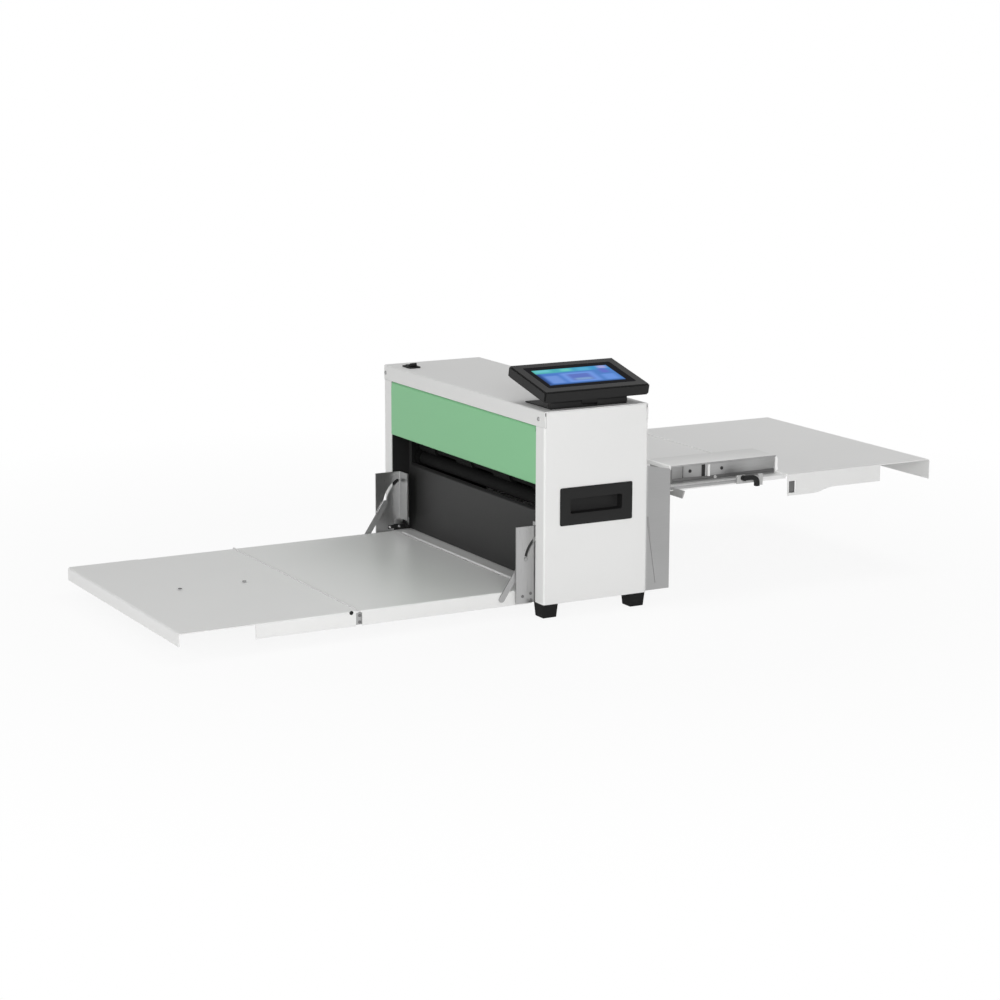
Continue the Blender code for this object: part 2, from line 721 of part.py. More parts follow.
def side_frame(side, paint):
    """A plate bolted to the pan by its foot, with bearing bosses, the beam's slot and shaft holes."""
    foot_z = PAN_FLOOR + GAP
    path = [(FRAME_INSIDE + FRAME_FOOT, foot_z), (FRAME_INSIDE, foot_z), (FRAME_INSIDE, LID_UNDERSIDE)]
    outline = mirror_outline(folded_sheet(path, -FRAME_SHEET), side)
    frame = prism("Y", outline, -INNER_DEPTH, INNER_DEPTH)
    low, high = sorted((side * (FRAME_INSIDE - OVERRUN), side * (FRAME_OUTSIDE + BEARING_PROUD + OVERRUN)))
    boss_low, boss_high = sorted((side * (FRAME_OUTSIDE - PANEL), side * (FRAME_OUTSIDE + BEARING_PROUD)))
    shafts = [(y, z, ROLLER_SHAFT) for y in (INFEED_ROLLER_Y, OUTFEED_ROLLER_Y)
              for z in (LOWER_ROLLER_Z, UPPER_ROLLER_Z)]
    for y, z, radius in shafts:
        join(frame, rod("X", (y, z), radius + BEARING_BOSS, boss_low, boss_high))
    shafts.append((CREASE_Y, CAM_Z, CAM_SHAFT))
    shafts.append((EYE_Y, EYE_Z, ROD_RADIUS))
    if side == RIGHT:
        shafts.append((CREASE_MOTOR_Y, CREASE_MOTOR_Z, MOTOR_SHAFT))
    else:
        shafts.append((FEED_MOTOR_Y, FEED_MOTOR_Z, MOTOR_SHAFT))
    for y, z, radius in shafts:
        cut(frame, rod("X", (y, z), radius + GAP, low, high))
    cut(frame, prism("X", pan_outline(GAP), *sorted((side * (FRAME_INSIDE - OVERRUN), side * HALF_LENGTH))))
    corner = BEND_RADIUS + GAP
    for end in (-1, 1):
        notch_y = sorted((end * (INNER_DEPTH - corner), end * HALF_DEPTH))
        cut(frame, prism("X", rectangle(notch_y[0], LID_UNDERSIDE - corner, notch_y[1], BODY_TOP), low,
                         high))
        wall_y = sorted((end * (INNER_DEPTH - PAN_SHEET / 2), end * HALF_DEPTH))
        cut(frame, box((min(low, side * HALF_LENGTH), wall_y[0], 0),
                       (max(high, side * HALF_LENGTH), wall_y[1], LEDGE_TOP)))
    lip_front = rectangle(-HALF_DEPTH, COVER_BOTTOM - GAP, -HALF_DEPTH + COVER_LIP + GAP,
                          COVER_BOTTOM + PANEL + corner)
    lip_rear = rectangle(HALF_DEPTH - REAR_LIP - GAP, REAR_SLOT_FLOOR - PANEL - corner, HALF_DEPTH,
                         REAR_SLOT_TOP + PANEL + corner)
    cut(frame, prism("X", lip_front, low, high), prism("X", lip_rear, low, high))
    slot_half = TONGUE_WIDTH / 2 + GAP
    slot_low = BEAM_TOP - TONGUE_HEIGHT - CREASE_STROKE - 2 * GAP
    slot = rectangle(CREASE_Y - slot_half, slot_low, CREASE_Y + slot_half, BEAM_TOP + 2 * GAP)
    cut(frame, prism("X", slot, low, high))
    piece(frame, f"side_frame_{SIDE_NAMES[side]}", paint["steel"])


def end_cover(side, paint):
    """An end panel with returns at the front and the back, open for the handle cup."""
    path = [(OPENING_HALF, -HALF_DEPTH), (HALF_LENGTH, -HALF_DEPTH), (HALF_LENGTH, HALF_DEPTH),
            (OPENING_HALF, HALF_DEPTH)]
    outline = mirror_outline(folded_sheet(path, PANEL), side)
    cover = prism("Z", outline, FOOT_HEIGHT, BAND_BOTTOM - GAP)
    low, high = sorted((side * (HALF_LENGTH - PANEL), side * HALF_LENGTH))
    tongue_half = INNER_DEPTH - BEND_RADIUS - GAP
    tongue = rectangle(-tongue_half, BAND_BOTTOM - BAND_HEIGHT, tongue_half, LID_UNDERSIDE)
    join(cover, prism("X", tongue, low, high))
    window_width = CUP_POCKET_LENGTH + 2 * (CUP_WALL + GAP)
    window_height = CUP_POCKET_HEIGHT + 2 * (CUP_WALL + GAP)
    window = round_rectangle((0, CUP_CENTRE_Z), window_width, window_height, CUP_CORNER + CUP_WALL)
    cut(cover, prism("X", window, low - OVERRUN, high + OVERRUN))
    piece(cover, f"end_cover_{SIDE_NAMES[side]}", paint["white_paint"])


def handle_cup(side, paint):
    """A moulded finger pocket: a rim on the panel and a rounded cup behind it."""
    seat = HALF_LENGTH + GAP
    face = seat + CUP_RIM_SHEET
    floor = face - CUP_DEPTH
    centre = (0, CUP_CENTRE_Z)
    rim = round_rectangle(centre, CUP_RIM_LENGTH, CUP_RIM_HEIGHT, CUP_CORNER)
    body = round_rectangle(centre, CUP_POCKET_LENGTH + 2 * CUP_WALL, CUP_POCKET_HEIGHT + 2 * CUP_WALL,
                           CUP_CORNER + CUP_WALL)
    pocket = round_rectangle(centre, CUP_POCKET_LENGTH, CUP_POCKET_HEIGHT, CUP_CORNER)
    cup = prism("X", rim, *sorted((side * seat, side * face)))
    join(cup, prism("X", body, *sorted((side * (floor - CUP_WALL), side * (seat + GAP)))))
    cut(cup, prism("X", pocket, *sorted((side * floor, side * (face + OVERRUN)))))
    piece(cup, f"handle_cup_{SIDE_NAMES[side]}", paint["black_plastic"])


def top_cover(paint):
    """The lid: one sheet folded down into a band at the front and at the back."""
    path = [(-HALF_DEPTH, BAND_BOTTOM), (-HALF_DEPTH, BODY_TOP), (HALF_DEPTH, BODY_TOP),
            (HALF_DEPTH, BAND_BOTTOM)]
    lid = prism("X", folded_sheet(path, -PANEL), -HALF_LENGTH, HALF_LENGTH)
    half_length = SWITCH_LENGTH / 2 - SWITCH_WALL + GAP
    half_width = SWITCH_WIDTH / 2 - SWITCH_WALL + GAP
    hole = rectangle(SWITCH_X - half_length, SWITCH_Y - half_width,
                     SWITCH_X + half_length, SWITCH_Y + half_width)
    cut(lid, prism("Z", hole, BODY_TOP - PANEL - OVERRUN, BODY_TOP + OVERRUN))
    piece(lid, "top_cover", paint["white_paint"])


def front_cover(paint):
    """The lift-up cover: a flat panel with a lip below, rolled round its hinge rod above."""
    path = [(-HALF_DEPTH + COVER_LIP, COVER_BOTTOM), (-HALF_DEPTH, COVER_BOTTOM), (-HALF_DEPTH, EYE_Z)]
    half = OPENING_HALF - GAP
    cover = prism("X", folded_sheet(path, -PANEL), -half, half)
    eye_half = FRAME_INSIDE - GAP
    for side in (RIGHT, LEFT):
        corner_x = sorted((side * eye_half, side * (half + OVERRUN)))
        cut(cover, box((corner_x[0], -HALF_DEPTH - OVERRUN, EYE_Z - EYE_RADIUS),
                       (corner_x[1], -HALF_DEPTH + PANEL + OVERRUN, EYE_Z + OVERRUN)))
    join(cover, rod("X", (EYE_Y, EYE_Z), EYE_RADIUS, -eye_half, eye_half))
    cut(cover, rod("X", (EYE_Y, EYE_Z), ROD_RADIUS + GAP, -eye_half - OVERRUN, eye_half + OVERRUN))
    piece(cover, "front_cover", paint["green_paint"], (0, EYE_Y, EYE_Z))
    pin = rod("X", (EYE_Y, EYE_Z), ROD_RADIUS, -BEAM_END, BEAM_END)
    piece(pin, "front_cover_rod", paint["bright_steel"], (0, EYE_Y, EYE_Z))


def delivery_chute(paint):
    """The dark plate below the exit slot, folded back at the top and standing on the pan's ledge."""
    face = -HALF_DEPTH + CHUTE_RECESS
    bottom = LEDGE_TOP + GAP
    path = [(face + CHUTE_FOOT, bottom), (face, bottom), (face, CHUTE_TOP),
            (face + CHUTE_LIP, CHUTE_TOP + CHUTE_LIP_RISE)]
    half = FRAME_INSIDE - GAP
    chute = prism("X", folded_sheet(path, -PANEL), -half, half)
    for side in (RIGHT, LEFT):
        post_x = sorted((side * (half - CHUTE_POST), side * half))
        join(chute, box((post_x[0], face, CHUTE_TOP - HEM), (post_x[1], face + PANEL, CHUTE_POST_TOP)))
    piece(chute, "delivery_chute", paint["dark_paint"])


def rear_covers(paint):
    """Two covers with the in-feed slot between them. The lower one carries the power inlet."""
    half = OPENING_HALF - GAP
    upper = [(HALF_DEPTH - REAR_LIP, REAR_SLOT_TOP), (HALF_DEPTH, REAR_SLOT_TOP),
             (HALF_DEPTH, BAND_BOTTOM - GAP)]
    piece(prism("X", folded_sheet(upper, PANEL), -half, half), "rear_cover_upper", paint["white_paint"])
    lower = [(HALF_DEPTH, FOOT_HEIGHT), (HALF_DEPTH, REAR_SLOT_FLOOR),
             (HALF_DEPTH - REAR_LIP, REAR_SLOT_FLOOR)]
    cover = prism("X", folded_sheet(lower, PANEL), -half, half)
    window = round_rectangle(inlet_centre(), INLET_WIDTH + 2 * GAP, INLET_HEIGHT + 2 * GAP, INLET_RIM)
    cut(cover, prism("Y", window, HALF_DEPTH - PANEL - OVERRUN, HALF_DEPTH + OVERRUN))
    piece(cover, "rear_cover_lower", paint["white_paint"])


def inlet_centre():
    return -HALF_LENGTH + INLET_INSET, FOOT_HEIGHT + INLET_RISE


def power_inlet(paint):
    """A three-pin appliance inlet in the lower rear cover."""
    centre = inlet_centre()
    seat = HALF_DEPTH + GAP
    face = seat + INLET_WALL
    rim = round_rectangle(centre, INLET_WIDTH + 2 * INLET_RIM, INLET_HEIGHT + 2 * INLET_RIM, INLET_RIM)
    inlet = prism("Y", rim, seat, face)
    body = round_rectangle(centre, INLET_WIDTH, INLET_HEIGHT, INLET_RIM)
    join(inlet, prism("Y", body, face - INLET_DEPTH, seat + GAP))
    mouth = round_rectangle(centre, INLET_WIDTH - 2 * INLET_WALL, INLET_HEIGHT - 2 * INLET_WALL, INLET_WALL)
    cut(inlet, prism("Y", mouth, face - SOCKET_DEPTH, face + OVERRUN))
    for step in (-1, 0, 1):
        pin_x = centre[0] + step * SOCKET_PIN_PITCH
        pin_z = centre[1] + (SOCKET_PIN if step == 0 else -SOCKET_PIN)
        pin = rectangle(pin_x - SOCKET_PIN / 2, pin_z - SOCKET_PIN, pin_x + SOCKET_PIN / 2,
                        pin_z + SOCKET_PIN)
        root = face - SOCKET_DEPTH
        join(inlet, prism("Y", pin, root - OVERRUN, root + SOCKET_PIN_LENGTH))
    piece(inlet, "power_inlet", paint["black_plastic"])


# Paper drive

def roller_profile(grooved):
    """The sleeve's turned profile: plain on a driven roller, in bands on a pressure roller."""
    if not grooved:
        return [(-ROLLER_HALF, ROLLER_RADIUS), (ROLLER_HALF, ROLLER_RADIUS)]
    profile = []
    pitch = (2 * ROLLER_HALF - ROLLER_BAND) / (ROLLER_BANDS - 1)
    for number in range(ROLLER_BANDS):
        start = -ROLLER_HALF + number * pitch
        profile += [(start, ROLLER_RADIUS), (start + ROLLER_BAND, ROLLER_RADIUS)]
        if number < 3:
            profile += [(start + ROLLER_BAND, ROLLER_NECK), (start + pitch, ROLLER_NECK)]
    return profile


def roller(name, y, z, driven, paint):
    """A feed roller on its shaft with its drive gear, and a toothed-belt pulley on a driven one."""
    left_end = -PULLEY_END if driven else -BEAM_END
    profile = [(left_end, ROLLER_SHAFT), (-ROLLER_HALF, ROLLER_SHAFT)]
    profile += roller_profile(grooved=not driven)
    profile += [(ROLLER_HALF, ROLLER_SHAFT), (BEAM_END, ROLLER_SHAFT)]
    made = turned("X", (y, z), profile)
    gear_end = -FRAME_INSIDE + ROLLER_GEAR_INSET
    module = (UPPER_ROLLER_Z - LOWER_ROLLER_Z) / ROLLER_GEAR_TEETH
    tooth_angle = math.pi / 2 if driven else math.pi / 2 + math.pi / ROLLER_GEAR_TEETH
    outline = gear_outline((y, z), ROLLER_GEAR_TEETH, module, tooth_angle)
    join(made, prism("X", outline, gear_end, gear_end + ROLLER_GEAR_WIDTH))
    if driven:
        join(made, turned("X", (y, z), pulley_profile(PULLEY_RADIUS)))
    piece(made, name, paint["rubber"], (0, y, z))


def pulley_profile(radius):
    """A belt pulley between two thin flanges, outboard of the left frame."""
    inner = BELT_FACE - BELT_SIDE_PLAY
    outer = BELT_FACE + BELT_WIDTH + BELT_SIDE_PLAY
    flange = radius + PULLEY_FLANGE
    return [(-PULLEY_END, flange), (-outer, flange), (-outer, radius), (-inner, radius), (-inner, flange),
            (-PULLEY_START, flange)]


def feed_drive(paint):
    """The feed motor inside the left frame, its pulley outside, and the belt round both driven rollers."""
    face = -FRAME_INSIDE + GAP
    centre = (FEED_MOTOR_Y, FEED_MOTOR_Z)
    case = round_rectangle(centre, FEED_MOTOR_SIZE, FEED_MOTOR_SIZE, FEED_MOTOR_CORNER)
    motor = prism("X", case, face, face + FEED_MOTOR_LENGTH)
    cut(motor, rod("X", centre, MOTOR_SHAFT + GAP, face - OVERRUN, face + MOTOR_BORE_DEPTH + GAP))
    piece(motor, "feed_motor", paint["motor_black"])
    pulley = turned("X", centre, pulley_profile(MOTOR_PULLEY_RADIUS))
    join(pulley, rod("X", centre, MOTOR_SHAFT, -PULLEY_END + PULLEY_FLANGE_SHEET, face + MOTOR_BORE_DEPTH))
    piece(pulley, "feed_pulley", paint["aluminium"], (0, *centre))
    circles = [(*centre, MOTOR_PULLEY_RADIUS), (INFEED_ROLLER_Y, LOWER_ROLLER_Z, PULLEY_RADIUS),
               (OUTFEED_ROLLER_Y, LOWER_ROLLER_Z, PULLEY_RADIUS)]
    belt = prism("X", belt_outline(circles, BELT_THICKNESS), -BELT_FACE - BELT_WIDTH, -BELT_FACE)
    cut(belt, prism("X", belt_outline(circles, GAP), -BELT_FACE - BELT_WIDTH - OVERRUN,
                    -BELT_FACE + OVERRUN))
    piece(belt, "feed_belt", paint["rubber"])


# Creasing mechanism

def crease_bed(paint):
    """The bed bar between the frames, open below, and the matrix strip let into its top."""
    front = CREASE_Y - BED_FRONT
    back = CREASE_Y + BED_BACK
    groove = MATRIX_WIDTH / 2 + GAP
    groove_floor = BED_TOP + GAP - MATRIX_HEIGHT - GAP
    bottom = BED_TOP - BED_DEPTH
    roof = groove_floor - BED_WEB
    web = BED_WEB / 2
    outline = [(front, BED_TOP), (front, bottom), (front + BED_FOOT, bottom), (front + BED_FOOT, roof),
               (CREASE_Y - web, roof), (CREASE_Y - web, bottom), (CREASE_Y + web, bottom),
               (CREASE_Y + web, roof), (back - BED_FOOT, roof), (back - BED_FOOT, bottom),
               (back, bottom), (back, BED_TOP), (CREASE_Y + groove, BED_TOP),
               (CREASE_Y + groove, groove_floor), (CREASE_Y - groove, groove_floor),
               (CREASE_Y - groove, BED_TOP)]
    half = FRAME_INSIDE - GAP
    piece(prism("X", outline, -half, half), "crease_bed", paint["aluminium"])
    top = groove_floor + GAP + MATRIX_HEIGHT
    channel = CHANNEL_WIDTH / 2
    edge = MATRIX_WIDTH / 2
    strip = [(CREASE_Y - edge, groove_floor + GAP), (CREASE_Y + edge, groove_floor + GAP),
             (CREASE_Y + edge, top), (CREASE_Y + channel, top),
             (CREASE_Y + channel, top - CHANNEL_DEPTH), (CREASE_Y - channel, top - CHANNEL_DEPTH),
             (CREASE_Y - channel, top), (CREASE_Y - edge, top)]
    piece(prism("X", strip, -BLADE_HALF, BLADE_HALF), "crease_matrix", paint["bright_steel"])


def crease_beam(paint):
    """The sliding beam with its end tongues and two yokes, and the blade clamped in its underside."""
    half = BEAM_THICKNESS / 2
    beam = box((-BEAM_HALF, CREASE_Y - half, BEAM_BOTTOM), (BEAM_HALF, CREASE_Y + half, BEAM_TOP))
    tongue = TONGUE_WIDTH / 2
    join(beam, box((-BEAM_END, CREASE_Y - tongue, BEAM_TOP - TONGUE_HEIGHT),
                   (BEAM_END, CREASE_Y + tongue, BEAM_TOP)))
    window_centre = CAM_Z + CAM_THROW
    window_half = CAM_RADIUS + CAM_PLAY
    window_side = CAM_RADIUS + CAM_THROW + YOKE_SIDE_PLAY
    yoke_top = window_centre + window_half + YOKE_WALL
    for side in (RIGHT, LEFT):
        low = side * CAM_X - YOKE_THICKNESS / 2
        high = side * CAM_X + YOKE_THICKNESS / 2
        plate = rectangle(CREASE_Y - window_side - YOKE_WALL, BEAM_TOP - YOKE_WALL,
                          CREASE_Y + window_side + YOKE_WALL, yoke_top)
        join(beam, prism("X", plate, low, high))
        window = rectangle(CREASE_Y - window_side, window_centre - window_half,
                           CREASE_Y + window_side, window_centre + window_half)
        cut(beam, prism("X", window, low - OVERRUN, high + OVERRUN))
    slot = BLADE_THICKNESS / 2 + GAP
    cut(beam, box((-BLADE_HALF - GAP, CREASE_Y - slot, BEAM_BOTTOM - OVERRUN),
                  (BLADE_HALF + GAP, CREASE_Y + slot, BEAM_BOTTOM + BLADE_HOLD + GAP)))
    piece(beam, "crease_beam", paint["aluminium"], (0, CREASE_Y, BEAM_BOTTOM))
    tip = PAPER_HEIGHT + BLADE_LIFT
    thick = BLADE_THICKNESS / 2
    blade = [(CREASE_Y - thick, BEAM_BOTTOM + BLADE_HOLD), (CREASE_Y - thick, tip + thick),
             (CREASE_Y - thick / 2, tip), (CREASE_Y + thick / 2, tip), (CREASE_Y + thick, tip + thick),
             (CREASE_Y + thick, BEAM_BOTTOM + BLADE_HOLD)]
    piece(prism("X", blade, -BLADE_HALF, BLADE_HALF), "crease_blade", paint["bright_steel"],
          (0, CREASE_Y, BEAM_BOTTOM))


def cam_shaft(paint):
    """The shaft above the beam with an eccentric in each yoke, at the top of its turn."""
    axis = (CREASE_Y, CAM_Z)
    gear_start = FRAME_OUTSIDE + CREASE_GEAR_STANDOFF
    gear_end = gear_start + CREASE_GEAR_WIDTH
    shaft = rod("X", axis, CAM_SHAFT, -BEAM_END, gear_end + PANEL)
    for side in (RIGHT, LEFT):
        middle = side * CAM_X
        join(shaft, rod("X", (CREASE_Y, CAM_Z + CAM_THROW), CAM_RADIUS, middle - CAM_WIDTH / 2,
                        middle + CAM_WIDTH / 2))
    piece(shaft, "cam_shaft", paint["bright_steel"], (0, *axis))
    towards_motor = math.atan2(CREASE_MOTOR_Z - CAM_Z, CREASE_MOTOR_Y - CREASE_Y)
    wheel = prism("X", gear_outline(axis, CAM_GEAR_TEETH, CREASE_MODULE, towards_motor), gear_start,
                  gear_end)
    cut(wheel, rod("X", axis, CAM_SHAFT + GAP, gear_start - OVERRUN, gear_end + OVERRUN))
    piece(wheel, "cam_gear", paint["gear_brass"], (0, *axis))
    motor = (CREASE_MOTOR_Y, CREASE_MOTOR_Z)
    gap_angle = towards_motor + math.pi + math.pi / CREASE_PINION_TEETH
    pinion = prism("X", gear_outline(motor, CREASE_PINION_TEETH, CREASE_MODULE, gap_angle), gear_start,
                   gear_end)
    join(pinion, rod("X", motor, MOTOR_SHAFT, FRAME_INSIDE - GAP - MOTOR_BORE_DEPTH, gear_end + PANEL,
                     ROUND_FINE))
    piece(pinion, "crease_pinion", paint["steel"], (0, *motor))


def crease_motor(paint):
    """The gear motor inside the right frame: a square gearbox with a round can behind it."""
    centre = (CREASE_MOTOR_Y, CREASE_MOTOR_Z)
    face = FRAME_INSIDE - GAP
    gearbox = round_rectangle(centre, CREASE_MOTOR_SIZE, CREASE_MOTOR_SIZE, CREASE_MOTOR_CORNER)
    motor = prism("X", gearbox, face - CREASE_GEARBOX_LENGTH, face)
    can_start = face - CREASE_GEARBOX_LENGTH - CREASE_CAN_LENGTH
    join(motor, rod("X", centre, CREASE_MOTOR_CAN, can_start, face - CREASE_GEARBOX_LENGTH + OVERRUN))
    cut(motor, rod("X", centre, MOTOR_SHAFT + GAP, face - MOTOR_BORE_DEPTH - GAP, face + OVERRUN,
                   ROUND_FINE))
    piece(motor, "crease_motor", paint["motor_black"])


# Electrical parts

def power_supply(paint):
    floor = PAN_FLOOR + GAP
    case = box((SUPPLY_X, SUPPLY_Y, floor), (SUPPLY_X + SUPPLY_LENGTH, SUPPLY_Y + SUPPLY_WIDTH,
                                             floor + SUPPLY_HEIGHT))
    piece(case, "power_supply", paint["aluminium"])


def control_board(paint):
    """The board on four posts with a finned heat sink and a row of connectors."""
    floor = PAN_FLOOR + GAP
    low = floor + BOARD_STANDOFF
    top = low + BOARD_SHEET
    board = box((BOARD_X, BOARD_Y, low), (BOARD_X + BOARD_LENGTH, BOARD_Y + BOARD_WIDTH, top))
    for x in (BOARD_X + BOARD_POST_INSET, BOARD_X + BOARD_LENGTH - BOARD_POST_INSET):
        for y in (BOARD_Y + BOARD_POST_INSET, BOARD_Y + BOARD_WIDTH - BOARD_POST_INSET):
            join(board, rod("Z", (x, y), BOARD_POST, floor, low + BOARD_SHEET / 2, ROUND_FINE))
    sink_x = BOARD_X + BOARD_EDGE
    sink_y = BOARD_Y + BOARD_WIDTH - BOARD_EDGE - HEATSINK_WIDTH
    pitch = HEATSINK_LENGTH / (2 * HEATSINK_FINS - 1)
    comb = [(sink_x, top - BOARD_SHEET / 2)]
    for fin in range(HEATSINK_FINS):
        left = sink_x + 2 * fin * pitch
        comb += [(left, top + HEATSINK_HEIGHT), (left + pitch, top + HEATSINK_HEIGHT)]
        if fin < HEATSINK_FINS - 1:
            comb += [(left + pitch, top + OVERRUN), (left + 2 * pitch, top + OVERRUN)]
    comb.append((sink_x + HEATSINK_LENGTH, top - BOARD_SHEET / 2))
    join(board, prism("Y", comb, sink_y, sink_y + HEATSINK_WIDTH))
    plug_y = BOARD_Y + BOARD_EDGE
    for number in range(2):
        plug_x = BOARD_X + BOARD_EDGE + number * (CONNECTOR_LENGTH + BOARD_EDGE)
        join(board, box((plug_x, plug_y, top - BOARD_SHEET / 2),
                        (plug_x + CONNECTOR_LENGTH, plug_y + CONNECTOR_WIDTH, top + CONNECTOR_HEIGHT)))
    piece(board, "control_board", paint["board_green"])


def lid_switch(paint):
    """The rocker switch on the lid: a bezel with a pocket, and a rocker pressed down at its left end."""
    seat = BODY_TOP + GAP
    centre = (SWITCH_X, SWITCH_Y)
    bezel = prism("Z", round_rectangle(centre, SWITCH_LENGTH, SWITCH_WIDTH, SWITCH_CORNER), seat,
                  SWITCH_AXIS_Z)
    neck_length = SWITCH_LENGTH - 2 * SWITCH_WALL
    neck_width = SWITCH_WIDTH - 2 * SWITCH_WALL
    neck = rectangle(SWITCH_X - neck_length / 2, SWITCH_Y - neck_width / 2,
                     SWITCH_X + neck_length / 2, SWITCH_Y + neck_width / 2)
    join(bezel, prism("Z", neck, BODY_TOP - SWITCH_BODY_DEPTH, seat + GAP))
    pocket_half = neck_length / 2 - SWITCH_WALL / 2
    pocket_side = neck_width / 2 - SWITCH_WALL / 2
    pocket = rectangle(SWITCH_X - pocket_half, SWITCH_Y - pocket_side, SWITCH_X + pocket_half,
                       SWITCH_Y + pocket_side)
    cut(bezel, prism("Z", pocket, SWITCH_AXIS_Z - SWITCH_POCKET_DEPTH, SWITCH_AXIS_Z + OVERRUN))
    axle_reach = pocket_side + SWITCH_WALL / 4
    cut(bezel, rod("Y", (SWITCH_X, SWITCH_AXIS_Z - ROCKER_BOSS / 2), ROCKER_AXLE + GAP,
                   SWITCH_Y - axle_reach, SWITCH_Y + axle_reach, ROUND_FINE))
    piece(bezel, "switch_bezel", paint["black_plastic"])
    reach = pocket_half - ROCKER_PLAY - ROCKER_TIP * math.sin(ROCKER_TILT)
    axis_z = SWITCH_AXIS_Z - ROCKER_BOSS / 2
    wing = [(-reach, ROCKER_ROOT), (-reach, ROCKER_TIP), (0, ROCKER_WAIST), (reach, ROCKER_TIP),
            (reach, ROCKER_ROOT),
            (0, -ROCKER_BOSS / 2)]
    turned_wing = [(SWITCH_X + u * math.cos(ROCKER_TILT) - v * math.sin(ROCKER_TILT),
                    axis_z + u * math.sin(ROCKER_TILT) + v * math.cos(ROCKER_TILT)) for u, v in wing]
    side = pocket_side - ROCKER_PLAY
    rocker = prism("Y", turned_wing, SWITCH_Y - side, SWITCH_Y + side)
    join(rocker, rod("Y", (SWITCH_X, axis_z), ROCKER_BOSS / 2, SWITCH_Y - side, SWITCH_Y + side,
                     ROUND_FINE))
    join(rocker, rod("Y", (SWITCH_X, axis_z), ROCKER_AXLE, SWITCH_Y - axle_reach + GAP,
                     SWITCH_Y + axle_reach - GAP,
                     ROUND_FINE))
    piece(rocker, "switch_rocker", paint["black_plastic"], (SWITCH_X, SWITCH_Y, axis_z))


# Touch screen

def screen_base(paint):
    """The foot plate on the lid with two hinge barrels near its outer edge, and the hinge pin."""
    low = BODY_TOP + GAP
    outer = HALF_LENGTH - BASE_INSET
    y_low = BASE_Y - BASE_WIDTH / 2
    y_high = BASE_Y + BASE_WIDTH / 2
    base = box((outer - BASE_LENGTH, y_low, low), (outer, y_high, low + BASE_SHEET))
    middle = HINGE_MIDDLE / 2
    for start, end in ((y_low, BASE_Y - middle - GAP), (BASE_Y + middle + GAP, y_high)):
        join(base, box((HINGE_X - HINGE_BARREL, start, low + BASE_SHEET / 2),
                       (HINGE_X + HINGE_BARREL, end, HINGE_Z)))
        join(base, rod("Y", (HINGE_X, HINGE_Z), HINGE_BARREL, start, end))
    cut(base, rod("Y", (HINGE_X, HINGE_Z), HINGE_PIN + GAP, y_low - OVERRUN, y_high + OVERRUN))
    piece(base, "screen_base", paint["black_plastic"])
    pin = rod("Y", (HINGE_X, HINGE_Z), HINGE_PIN, y_low, y_high)
    piece(pin, "screen_hinge_pin", paint["bright_steel"], (HINGE_X, BASE_Y, HINGE_Z))


def bevel_edges(made, width, steps):
    """Round every edge of a plain block."""
    mesh = bmesh.new()
    mesh.from_mesh(made.data)
    bmesh.ops.bevel(mesh, geom=list(mesh.edges), offset=width, segments=steps, affect="EDGES")
    bmesh.ops.recalc_face_normals(mesh, faces=mesh.faces)
    mesh.to_mesh(made.data)
    mesh.free()
    return made


def touch_screen(paint):
    """The tilting housing with its glass. Its underside lies HINGE_CLEAR above the hinge barrels."""
    underside = HINGE_BARREL + HINGE_CLEAR
    front = SCREEN_THICKNESS + underside
    overhang = HINGE_INSET - SCREEN_EDGE * 2
    low = (overhang - SCREEN_LENGTH, SCREEN_Y - SCREEN_WIDTH / 2, underside)
    high = (overhang, SCREEN_Y + SCREEN_WIDTH / 2, front)
    housing = bevel_edges(box(low, high), SCREEN_EDGE, SCREEN_EDGE_STEPS)
    knuckle_half = HINGE_MIDDLE / 2 - GAP
    knuckle_low = BASE_Y - knuckle_half
    knuckle_high = BASE_Y + knuckle_half
    join(housing, rod("Y", (0, 0), HINGE_BARREL, knuckle_low, knuckle_high))
    join(housing, box((-HINGE_BARREL, knuckle_low, 0), (HINGE_BARREL, knuckle_high, underside + PANEL)))
    cut(housing, rod("Y", (0, 0), HINGE_PIN + GAP, knuckle_low - OVERRUN, knuckle_high + OVERRUN))
    centre = (overhang - SCREEN_LENGTH / 2, SCREEN_Y)
    seat = front - GLASS_THICKNESS
    pocket = round_rectangle(centre, GLASS_LENGTH + 2 * GAP, GLASS_WIDTH + 2 * GAP, GLASS_CORNER)
    cut(housing, prism("Z", pocket, seat - GAP, front + OVERRUN))
    glass = prism("Z", round_rectangle(centre, GLASS_LENGTH, GLASS_WIDTH, GLASS_CORNER), seat, front)
    for made in (housing, glass):
        made.data.transform(Matrix.Rotation(SCREEN_TILT, 4, "Y"))
        made.data.transform(Matrix.Translation((HINGE_X, 0, HINGE_Z)))
    piece(housing, "screen_housing", paint["black_plastic"], (HINGE_X, 0, HINGE_Z))
    piece(glass, "screen_glass", paint["screen_glass"], (HINGE_X, 0, HINGE_Z))


# Tables

def channel_sheet(half, top, flange):
    """A table's cross-section: a flat top with a flange folded down at each side."""
    path = [(-half, top - flange), (-half, top), (half, top), (half, top - flange)]
    return folded_sheet(path, -TABLE_SHEET)


